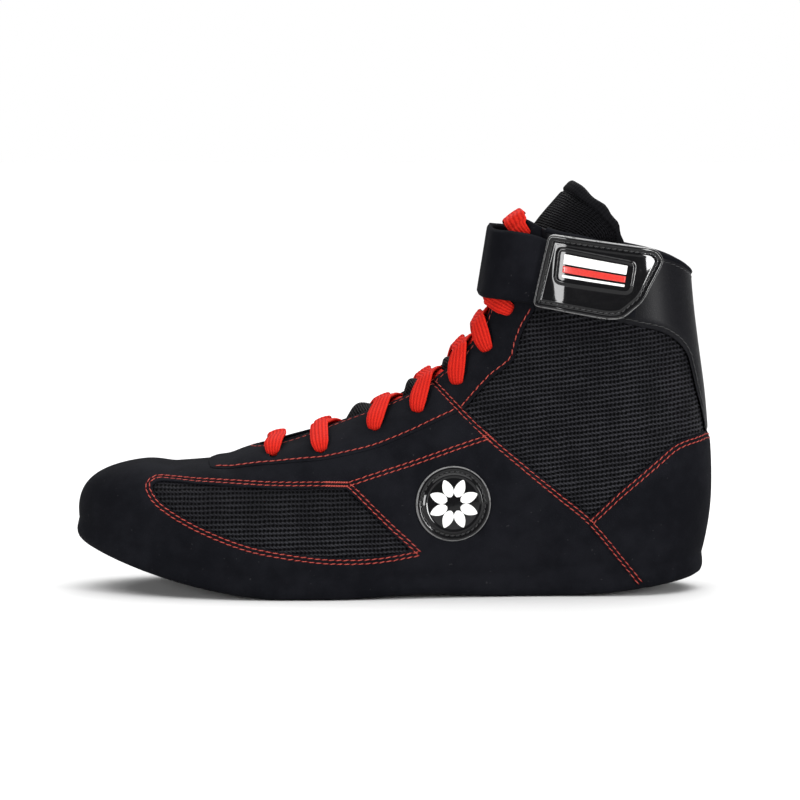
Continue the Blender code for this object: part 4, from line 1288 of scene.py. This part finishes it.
def make_tongue():
    """The padded tongue with its tape."""
    w = np.sin(np.linspace(-1, 1, TONGUE_COLUMNS) * math.pi / 2)
    u, w = np.meshgrid(np.linspace(0, 1, TONGUE_ROWS), w, indexing="ij")
    ripple = TONGUE_RIPPLE * np.sin(w**2 * TAPE_WAVES) * u**14
    u = u * (TONGUE_TOP - TONGUE_DROP * w**8 + TONGUE_SWELL * w**2 + ripple)
    middle = tongue_surface(u, w)
    out = unit(np.cross(np.gradient(middle, axis=0), np.gradient(middle, axis=1)))
    climb = arc_lengths(middle[:, TONGUE_COLUMNS // 2])
    left = climb[-1] - climb[:, None] + np.zeros_like(w)
    edge = np.sqrt(np.clip(1 - np.abs(w) ** 10, 0, 1)) * rolled(left, TONGUE_ROLL)
    crest = middle[:, TONGUE_COLUMNS // 2, 0]
    hump = sum(ridge(crest - at, rise, width) for at, rise, width in TONGUE_HUMPS)
    puff = hump[:, None] * (1 - w**2) ** 2
    slack = TAPE_SLACK * np.sin(w**2 * TAPE_WAVES + 0.6) * np.clip(1 - left / TAPE_SLACK_REACH, 0, 1)
    tape = np.where(left < TAPE_WIDTH, TAPE_LIFT, 0.0) + slack
    tape += ridge(left - TAPE_SEAM, TAPE_SEAM_DIP, TAPE_SEAM_WIDTH)
    half = TONGUE_THICK / 2 * edge
    outer = middle + out * (half + (puff + tape) * edge)[..., None]
    inner = middle - out * half[..., None]
    rings = np.concatenate([outer, inner[:, ::-1]], axis=1)
    faces = tube_faces(*rings.shape[:2])
    kinds = np.append(np.repeat(left[:-1, 0] < TAPE_WIDTH, rings.shape[1]), [False, True])
    across = arc_lengths(middle[TONGUE_ROWS // 2])
    across = np.concatenate([across, across[::-1]])[None, :] + np.zeros((TONGUE_ROWS, 1))
    cloth = np.stack([across, climb[:, None] + np.zeros_like(across), np.ones_like(across)], axis=-1)
    tongue = add_piece("tongue_padded", rings.reshape(-1, 3), faces, (shaded_tongue_mesh, binding),
                       ("tongue",), cloth=cloth.reshape(-1, 3), kinds=kinds)


make_tongue()

# %% [markdown]
# ## Laces
#
# The lace criss-crosses: from an eyelet it comes up, leans up the throat as it runs over the edge, crosses
# its twin in the middle and dives under the other edge, to come up through the next eyelet. Each bar is a
# ribbed flat tube swept along a route of a few points. It is pinched in the eyelet and flat elsewhere.

# %% Lace routes
LACE_WIDTH = 8.4
LACE_THICK = 1.9
LACE_LIFT = 2.8
LACE_ADVANCE = (0.0, 2.0, 6.5, 9.0, 10.5, 7.0, 3.2, 0.0)
LACE_RISE = (LACE_LIFT,) * 7 + (1.5,)
LACE_UPRIGHT = (0.0,) * 7 + (2.0,)
LACE_REACH = 7.5
LACE_TUCK = -1.3
LACE_PAST = 0.3
LACE_CORNER = 1.3
LACE_BOW = 0.7
LACE_CROSS_LIFTS = (1.3, 1.3, 1.2, 1.0, 0.5, -2.0)
LACE_STEPS = 56
LACE_AROUND = 40

# Where a bar starts: millimetres towards the throat and out of the hole, the lean of its face, its width
LACE_START = ((0.0, -1.2, 1.5, 0.42), (-1.1, 1.5, 1.0, 0.72), (2.2, LACE_LIFT + 0.1, 0.0, 0.95))


def throat_edge(point, side, advance):
    """Where round the rim the throat's edge is nearest to a point on that side, then so far up the throat."""
    corner = RIB_AT["lateral heel front" if side < 0 else "medial heel front"]
    around = np.linspace(0 if side < 0 else LOOP, corner, 400)
    edge = wall(around, 1.0)
    climb = arc_lengths(edge)
    nearest = np.argmin(np.linalg.norm(edge - point, axis=1))
    return np.interp(climb[nearest] + advance, climb, around)


def lace_rows():
    """For each eyelet row: the way from eyelet to throat on both sides, and the way out of the shoe."""
    rows = []
    for eyelet, advance, rise, upright in zip(EYELETS, LACE_ADVANCE, LACE_RISE, LACE_UPRIGHT):
        row = {}
        for side in (-1, 1):
            s, v = on_wall([eyelet], side)[0]
            hole, hole_out = wall(s, v), wall_normal(s, v)
            edge = throat_edge(hole, side, advance)
            ahead = throat_edge(hole, side, advance + LACE_REACH)
            around, climb = np.linspace(s, edge, 3), np.linspace(v, 1.0, 3)
            over = wall(around, climb) + wall_normal(around, climb) * rise
            row[side] = {"over": over, "out": wall_normal(around, climb), "edge": wall(edge, 1.0),
                         "hole": hole, "hole_out": hole_out,
                         "ahead": wall(ahead, 1.0), "ahead_out": wall_normal(ahead, 1.0)}
        row["middle"] = (row[-1]["edge"] + row[1]["edge"]) / 2
        row["out"] = unit(row[-1]["out"][-1] + row[1]["out"][-1])
        row["out"] = unit(row["out"] + np.array([0.0, 0.0, upright]))
        row["ahead"] = (row[-1]["ahead"] + row[1]["ahead"]) / 2
        row["ahead_out"] = unit(row[-1]["ahead_out"] + row[1]["ahead_out"])
        for side in (-1, 1):
            edge = row[side]["edge"]
            corner = unit(row[side]["out"][-1] + row["out"])
            over = row[side]["over"]
            over[-1] = edge + corner * rise * LACE_CORNER
            over[1] = (over[0] + over[-1]) / 2 + row[side]["out"][1] * LACE_BOW
            row[side]["out"][-1] = corner
            row[side]["past"] = edge + (row["middle"] - edge) * LACE_PAST + row["out"] * rise
        rows.append(row)
    return rows


def from_eyelet(end):
    """The start of a bar: up out of the hole, then over towards the throat."""
    hole, out = end["hole"], end["hole_out"]
    to_throat = unit(end["over"][1] - end["over"][0])
    path = [hole + to_throat * ahead + out * up for ahead, up, _, _ in LACE_START]
    ways = [unit(out - to_throat * lean) for _, _, lean, _ in LACE_START]
    widths = [width for _, _, _, width in LACE_START]
    return path + list(end["over"][1:]), ways + list(end["out"][1:]), widths + [1.0, 1.0]


# %% Lace bars
LACE_SQUARENESS = 0.65
LACE_RIB_DEPTH = 0.08
LACE_PINCH = 0.5
LACE_CROWN = 0.35
LACE_PASSES = ((-1, 0.9, "lateral"), (1, -0.8, "medial"))
LACE_FAR_SHARE = 0.5
TOP_BAR_SPREAD = 1.25


def signed_power(value, power):
    """A power that keeps the sign."""
    return np.sign(value) * np.abs(value) ** power


def add_lace(name, path, ways, widths, stands_for):
    """One bar of ribbed flat lace."""
    path = open_spline(path, LACE_STEPS)
    ways = unit(open_spline(ways, LACE_STEPS))
    width = LACE_WIDTH * np.interp(np.linspace(0, 1, LACE_STEPS), np.linspace(0, 1, len(widths)), widths)
    along = unit(np.gradient(path, axis=0))
    across = unit(np.cross(ways, along))
    face = unit(np.cross(along, across))
    turn = np.linspace(0, 2 * math.pi, LACE_AROUND, endpoint=False)
    flat = signed_power(np.cos(turn), LACE_SQUARENESS)
    rise = signed_power(np.sin(turn), LACE_SQUARENESS)
    ribs = 1 + LACE_RIB_DEPTH * np.cos(flat * math.pi * LACE_RIBS)
    pinch = 1 + LACE_PINCH * (1 - width / LACE_WIDTH)
    rings = (path[:, None] + across[:, None] * (width / 2)[:, None, None] * flat[None, :, None]
             + face[:, None] * (LACE_THICK / 2 * pinch)[:, None, None] * (rise * ribs)[None, :, None]
             + face[:, None] * (LACE_CROWN * (1 - flat**2))[None, :, None])
    faces = turned(tube_faces(LACE_STEPS, LACE_AROUND))
    arc, breadth = np.broadcast_arrays(arc_lengths(path)[:, None], (flat + 1) / 2)
    cloth = np.stack([arc, breadth, np.zeros_like(arc)], axis=-1)
    add_piece(name, rings.reshape(-1, 3), faces, (lace_red,), stands_for,
              cloth=cloth.reshape(-1, 3))


def add_crossing(number, row, cross_lift):
    """Two bars that leave the eyelets of a row, cross over the throat and tuck under its other edge."""
    middle = (row["middle"] + row["ahead"]) / 2
    out = unit(row["out"] + row["ahead_out"])
    for side, lift, side_name in LACE_PASSES:
        path, ways, widths = from_eyelet(row[side])
        far_edge = row[-side]["ahead"] - row["ahead"]
        path += [row[side]["past"], middle + out * (cross_lift + lift),
                 row["ahead"] + far_edge * LACE_FAR_SHARE + row["ahead_out"] * LACE_TUCK]
        ways += [row["out"], out, row["ahead_out"]]
        stands_for = (f"lace_cross_{number}",) if side < 0 else ()
        add_lace(f"lace_{number}_{side_name}", path, ways, widths + [1.0, 1.0, 1.0], stands_for)


def add_bar(name, row, lift, spread):
    """A bar straight across the throat, from eyelet to eyelet, spread wider in between."""
    path, ways, widths = from_eyelet(row[-1])
    back_path, back_ways, _ = from_eyelet(row[1])
    path = path + [row[-1]["past"], row["middle"] + row["out"] * lift, row[1]["past"]] + back_path[::-1]
    ways = ways + [row["out"]] * 3 + back_ways[::-1]
    widths = widths[:3] + [spread] * 2
    add_lace(name + "_bar", path, ways, widths + [spread] * 3 + widths[::-1], (name,))


rows = lace_rows()
add_bar("lace_bar_front", rows[0], LACE_LIFT, 1.0)
for number, lift in enumerate(LACE_CROSS_LIFTS, start=1):
    add_crossing(number, rows[number], lift)
add_bar("lace_bar_top", rows[-1], LACE_RISE[-1], TOP_BAR_SPREAD)

# %% [markdown]
# ## Ankle strap
#
# The strap is a flat nubuck band, sewn to the medial side and led round the front over the laces to its
# lateral end. Its route is a short table of places; where it lies on the shaft, the wall itself gives
# the place, and in front of the throat it is free and its place is listed.

# %% Strap
# Side of the wall or 0 where free, x, y where free, then the heights of the lower and upper edge
STRAP = (
    (1, 106, None, 125, 151), (1, 92, None, 126.5, 153.5), (1, 80, None, 128, 155.5),
    (1, 70, None, 129.5, 157.5), (0, 60, 28.8, 130.8, 161), (0, 51.5, 25.6, 131.8, 163.5),
    (0, 43.8, 18.6, 132.5, 164.5), (0, 42.0, 8, 133, 165), (0, 41.5, 0, 133.5, 165),
    (0, 42.0, -8, 133, 164.5), (0, 43.8, -18.6, 132.5, 163), (0, 51.5, -25.6, 131.8, 162.3),
    (0, 60, -28.8, 130.6, 160.8), (-1, 70, None, 129, 158.3), (-1, 80, None, 127.5, 155.5),
    (-1, 92, None, 126, 153.5), (-1, 106, None, 124, 152),
)
STRAP_LEAN = 0.16
STRAP_CLEAR = 2.5
STRAP_THICK = 1.8
STRAP_STEPS = 150
STRAP_LEVELS = 22
STRAP_TURN = 20.0
STRAP_EASE = 26
STRAP_STITCH = (2.6, 2.2, 0.3)
STRAP_END_ROWS = (2, 8)


def strap_edges(rows, extra, steps):
    """The strap's lower and upper edge along these rows, that far out from its inner face."""
    low_edge, high_edge = [], []
    for side, x, y, low, high in rows:
        for level, edge, lean in ((low, low_edge, -1), (high, high_edge, 1)):
            if side:
                s, v = on_wall([(x, level)], side)[0]
                edge.append(wall(s, v) + wall_normal(s, v) * (STRAP_CLEAR + extra))
            else:
                forward = np.array([x + lean * STRAP_LEAN * (high - low) / 2, y, level])
                edge.append(forward + unit(np.array([-1.0, y / STRAP_TURN, -STRAP_LEAN])) * extra)
    return open_spline(low_edge, steps), open_spline(high_edge, steps)


def strap_layer(rows, extra, steps, levels):
    """Spots of a layer over the strap, at shares of its width from its lower edge."""
    low, high = strap_edges(rows, extra, steps)
    return low[:, None] + (high - low)[:, None] * np.asarray(levels)[None, :, None]


def add_strap():
    """The band, with eased edges, and the rows that hold its medial end."""
    share = np.linspace(0, 1, STRAP_LEVELS)
    inner = strap_layer(STRAP, 0.0, STRAP_STEPS, share)
    outer = strap_layer(STRAP, STRAP_THICK, STRAP_STEPS, share)
    ease = np.sqrt(np.clip(1 - np.abs(2 * share - 1) ** STRAP_EASE, 0, 1))[None, :, None]
    middle, half = (inner + outer) / 2, (outer - inner) / 2
    rings = np.concatenate([middle - half * ease, (middle + half * ease)[:, ::-1]], axis=1)
    faces = tube_faces(*rings.shape[:2])
    add_piece("ankle_strap_band", rings.reshape(-1, 3), faces, (nubuck,), ("ankle_strap",))
    ways = unit(outer - inner)
    end_rows = [stitch_mesh(outer[step, 1:-1], ways[step, 1:-1], *STRAP_STITCH) for step in STRAP_END_ROWS]
    add_stitches("strap_stitching", end_rows, thread_black)


add_strap()

# %% [markdown]
# ## Patent tab
#
# The free end of the strap carries a moulded tab: a rolled rim, a stitched groove inside it, and a
# raised plaque. Heights come from the distance to the tab's outline, so rim and groove follow it all
# round. The plaque carries three plain printed stripes.

# %% Tab
TAB_OUTLINE = rounded(((62, 129.3), (69, 161.2), (115.8, 154.6), (119.4, 149.4), (109.8, 131.2), (101, 123.9),
                       (94.4, 123.5)), 3.0)
TAB_ROWS = STRAP[11:] + ((-1, 121, None, 122, 149.5),)
PLAQUE_CORNERS = np.array(((71.6, 140), (103.9, 135.2), (106, 148.8), (73.3, 155.3)))
PLAQUE = rounded(PLAQUE_CORNERS[::-1], 3.0)
TAB_GAP = 0.3
TAB_BASE = STRAP_THICK + TAB_GAP
TAB_THICK = 2.2
TAB_ROLL = 1.1
TAB_EDGE = 0.45
TAB_SHARES = np.linspace(-0.3, 1.3, 116)
TAB_STEPS = 170
TAB_LEVELS = len(TAB_SHARES)
TAB_STITCH = (2.6, 2.1, 0.4)
STITCH_GROOVE = 2.6
GROOVE_SHAPE = (-0.55, 0.75)
BEAD_INSET = 0.3
BEAD_SHAPE = (0.5, 0.55)
FIELD_INSET = 3.6
FIELD_HEIGHT = -0.3
PLAQUE_INSET = 0.6
PLAQUE_HEIGHT = 0.35
STEP_STEEPNESS = 4


def step_up(distance, height):
    """A soft step to that height, half way up where the distance is 0."""
    return height / (1 + np.exp(-distance * STEP_STEEPNESS))


def tab_height(x, z):
    """Height of the tab's face over its back, by the side view."""
    edge = within(TAB_OUTLINE, x, z)
    plaque = within(PLAQUE, x, z)
    body = TAB_THICK * (TAB_EDGE + (1 - TAB_EDGE) * rolled(edge, TAB_ROLL))
    groove = ridge(edge - STITCH_GROOVE, *GROOVE_SHAPE)
    frame_bead = ridge(plaque - BEAD_INSET, *BEAD_SHAPE)
    field = step_up(edge - FIELD_INSET, FIELD_HEIGHT)
    return body + groove + frame_bead + field + step_up(plaque - PLAQUE_INSET, PLAQUE_HEIGHT)


low_layer = strap_layer(TAB_ROWS, TAB_BASE, TAB_STEPS, TAB_SHARES)
top_layer = strap_layer(TAB_ROWS, TAB_BASE + 1.0, TAB_STEPS, TAB_SHARES)
tab_out = unit(top_layer - low_layer)


def on_tab(points):
    """Places on the tab's face where the side view shows the points, and the way out there."""
    flat = low_layer[..., [0, 2]].reshape(-1, 2)
    found, ways = [], []
    for point in np.asarray(points, float):
        i, j = np.unravel_index(np.argmin(np.sum((flat - point) ** 2, axis=1)), low_layer.shape[:2])
        i, j = np.clip(i, 1, TAB_STEPS - 2), np.clip(j, 1, TAB_LEVELS - 2)
        by_i = (low_layer[i + 1, j] - low_layer[i - 1, j]) / 2
        by_j = (low_layer[i, j + 1] - low_layer[i, j - 1]) / 2
        slope = np.stack([by_i[[0, 2]], by_j[[0, 2]]], axis=1)
        a, b = np.linalg.solve(slope, point - low_layer[i, j, [0, 2]])
        found.append(low_layer[i, j] + a * by_i + b * by_j)
        ways.append(tab_out[i, j])
    found, ways = np.array(found), np.array(ways)
    return found + ways * tab_height(found[:, 0], found[:, 2])[:, None], ways


def add_tab():
    """The moulded tab."""
    i, j = np.meshgrid(np.arange(TAB_STEPS, dtype=float), np.arange(TAB_LEVELS, dtype=float), indexing="ij")
    keep = within(TAB_OUTLINE, low_layer[..., 0], low_layer[..., 2])
    spots, faces = cut_grid(i, j, keep)
    base = np.minimum(spots.astype(int), (TAB_STEPS - 2, TAB_LEVELS - 2))
    a, b = (spots - base).T[..., None]
    p, q = base.T

    def blend(grid):
        low = grid[p, q] * (1 - a) + grid[p + 1, q] * a
        high = grid[p, q + 1] * (1 - a) + grid[p + 1, q + 1] * a
        return low * (1 - b) + high * b

    place, out = blend(low_layer), unit(blend(tab_out))
    points, faces = thicken(place, out, faces, 0.0, tab_height(place[:, 0], place[:, 2]), ((0.15, 0.5),))
    cloth = np.zeros((len(points), 3))
    cloth[:len(place), 0] = within(TAB_OUTLINE, place[:, 0], place[:, 2])
    add_piece("strap_tab_patent", points, faces, (patent,), ("strap_tab",), cloth=cloth)


def inset_line(shape, inset):
    """A closed line that far inside an outline."""
    closed = np.vstack([shape, shape[:1]])
    even = np.linspace(0, arc_lengths(closed)[-1], 200)
    line = on_line(even, arc_lengths(closed), closed)
    ahead = unit(np.gradient(line, axis=0))
    aside = np.stack([-ahead[:, 1], ahead[:, 0]], axis=1)
    middle = shape.mean(axis=0)
    inward = np.sign(np.sum(aside * (middle - line), axis=1, keepdims=True))
    return line + aside * inward * inset


add_tab()
tab_row = stitch_mesh(*on_tab(inset_line(TAB_OUTLINE, STITCH_GROOVE)), *TAB_STITCH)
add_stitches("tab_stitching", [tab_row], thread_black)

# %% Stripes on the plaque
STRIPES = {
    "white_wide": (0.56, 0.84, print_white),
    "red": (0.31, 0.50, print_red),
    "white_thin": (0.17, 0.24, print_white),
}
STRIPE_ENDS = (0.09, 0.91)
PRINT_SINK = -0.1
PRINT_THICK = 0.12


def add_stripe(name, low, high, worn):
    """One printed stripe across the plaque."""
    u, w = np.meshgrid(np.linspace(*STRIPE_ENDS, 40), np.linspace(low, high, 8), indexing="ij")
    a, b, c, d = PLAQUE_CORNERS
    flat = (((1 - u) * (1 - w))[..., None] * a + (u * (1 - w))[..., None] * b
            + (u * w)[..., None] * c + ((1 - u) * w)[..., None] * d)
    place, out = on_tab(flat.reshape(-1, 2))
    points, faces = thicken(place, out, squares(*u.shape).tolist(), PRINT_SINK, PRINT_THICK, ((0.05, 0.5),))
    add_piece(f"stripe_{name}", points, faces, (worn,))


for stripe_name, stripe in STRIPES.items():
    add_stripe(stripe_name, *stripe)

# %% [markdown]
# ## Side patch
#
# A round patch of patent is sewn on the lateral quarter, with a stitched rim and a plain white rosette.
# It is a polar grid in the side view, dropped on the wall, with its height given by the radius.

# %% Patch
PATCH_CENTRE = (26.5, 42.0)
PATCH_RADIUS = 16.5
PATCH_THICK = 1.5
PATCH_GROOVE = 14.0
PATCH_BEAD = 12.4
PATCH_ROLL = 0.9
PATCH_EDGE = 0.4
PATCH_HUB = 0.3
PATCH_RINGS = 46
PATCH_SPOKES = 120
PATCH_STITCH = (2.4, 1.9, 0.38)
PETALS = 8
PETAL_ENDS = (3.2, 11.3)
PETAL_WIDTH = 2.3
PETAL_LIFT = 0.15


def patch_height(r):
    """Height of the patch's face over the upper, by radius."""
    body = PATCH_THICK * (PATCH_EDGE + (1 - PATCH_EDGE) * rolled(PATCH_RADIUS - r, PATCH_ROLL))
    return body + ridge(r - PATCH_GROOVE, -0.45, 0.7) + ridge(r - PATCH_BEAD, 0.3, 0.5)


def on_patch(r, turn):
    """Places on the patch's back and the way out, at polar spots of the side view."""
    flat = np.stack([PATCH_CENTRE[0] + r * np.cos(turn), PATCH_CENTRE[1] + r * np.sin(turn)], axis=-1)
    return layer(*on_wall(flat.reshape(-1, 2), -1).T)[:2]


def add_patch():
    """The patch and its stitches."""
    spokes = np.linspace(0, 2 * math.pi, PATCH_SPOKES, endpoint=False)
    r, turn = np.meshgrid(np.linspace(PATCH_HUB, PATCH_RADIUS, PATCH_RINGS), spokes, indexing="ij")
    place, out = on_patch(r, turn)
    faces = tube_faces(*r.shape)[:-1]
    points, faces = thicken(place, out, faces, PANEL_BASE, patch_height(r.ravel()), ((0.12, 0.5),))
    cloth = np.zeros((len(points), 3))
    cloth[:len(place), 0] = PATCH_RADIUS - r.ravel()
    add_piece("side_patch_patent", points, faces, (patent,), ("side_patch",), cloth=cloth)
    ring = np.linspace(0, 2 * math.pi, 160)
    path, ways = on_patch(np.full_like(ring, PATCH_GROOVE), ring)
    row = stitch_mesh(path + ways * patch_height(PATCH_GROOVE), ways, *PATCH_STITCH)
    add_stitches("patch_stitching", [row], thread_black)


def add_rosette():
    """Eight plain petals printed on the patch."""
    share, across = np.meshgrid(np.linspace(0, 1, 18), np.linspace(-1, 1, 9), indexing="ij")
    along = PETAL_ENDS[0] + (PETAL_ENDS[1] - PETAL_ENDS[0]) * share
    wide = PETAL_WIDTH * np.sin(math.pi * share**0.8) ** 0.7 * across
    r = np.hypot(along, wide)
    height = patch_height(r.ravel())
    petals = []
    for k in range(PETALS):
        turn = 2 * math.pi * (k + 0.5) / PETALS + np.arctan2(wide, along)
        place, out = on_patch(r.ravel(), turn.ravel())
        points, faces = thicken(place, out, squares(*r.shape).tolist(), height + PRINT_SINK,
                                height + PETAL_LIFT, ((0.04, 0.5),))
        petals.append((points, faces, np.zeros_like(points)))
    points, faces, _ = join(petals)
    add_piece("rosette", points, faces, (print_white,))


add_patch()
add_rosette()

# %% [markdown]
# ## Collar edge
#
# At the top line, cuff and lining meet in a rolled binding of nubuck. A bead along the collar stands for
# it and hides the cut edges.

# %% Bead along the collar
BEAD_START = 68.0
BEAD_OUT = 2.08
BEAD_UP = 1.4
BEAD_SINK = 0.15
BEAD_STEPS = 190
BEAD_SIDES = 14


def add_bead():
    """The rolled edge of the cuff, from one end of it round the heel to the other."""
    top_s = np.linspace(RIB_AT["lateral heel front"], RIB_AT["medial heel front"], 600)
    on_cuff = top_s[wall(top_s, 1.0)[:, 0] > BEAD_START]
    s = np.linspace(on_cuff[0], on_cuff[-1], BEAD_STEPS)
    out = wall_normal(s, 1.0)
    path = wall(s, 1.0) - out * BEAD_SINK
    along = unit(np.gradient(path, axis=0))
    up = unit(np.cross(along, out))
    turn = np.linspace(0, 2 * math.pi, BEAD_SIDES, endpoint=False)
    rings = (path[:, None] + out[:, None] * (BEAD_OUT * np.cos(turn))[None, :, None]
             + up[:, None] * (BEAD_UP * np.sin(turn))[None, :, None])
    faces = tube_faces(BEAD_STEPS, BEAD_SIDES)
    add_piece("collar_bead", rings.reshape(-1, 3), faces, (nubuck,))


add_bead()

# %% [markdown]
# ## Floor
#
# A large pale plane stands for the studio floor. It is part of the stage, not of the shoe.

# %% Floor
FLOOR_REACH = 14.0


def floor_recipe(tool):
    return {"Base Color": tool.noise(0.4, 1.0).blend((0.63, 0.63, 0.63), (0.65, 0.65, 0.65))}


floor_mesh = bpy.data.meshes.new("floor")
corners = [(x * FLOOR_REACH, y * FLOOR_REACH, 0.0) for x, y in ((-1, -1), (1, -1), (1, 1), (-1, 1))]
floor_mesh.from_pydata(corners, [], [(0, 1, 2, 3)])
floor_mesh.materials.append(finish("pale floor", floor_recipe, Roughness=0.9, Specular_IOR_Level=0.0))
floor = bpy.data.objects.new("floor", floor_mesh)
bpy.context.scene.collection.objects.link(floor)
print("floor", 2 * FLOOR_REACH, "m across")
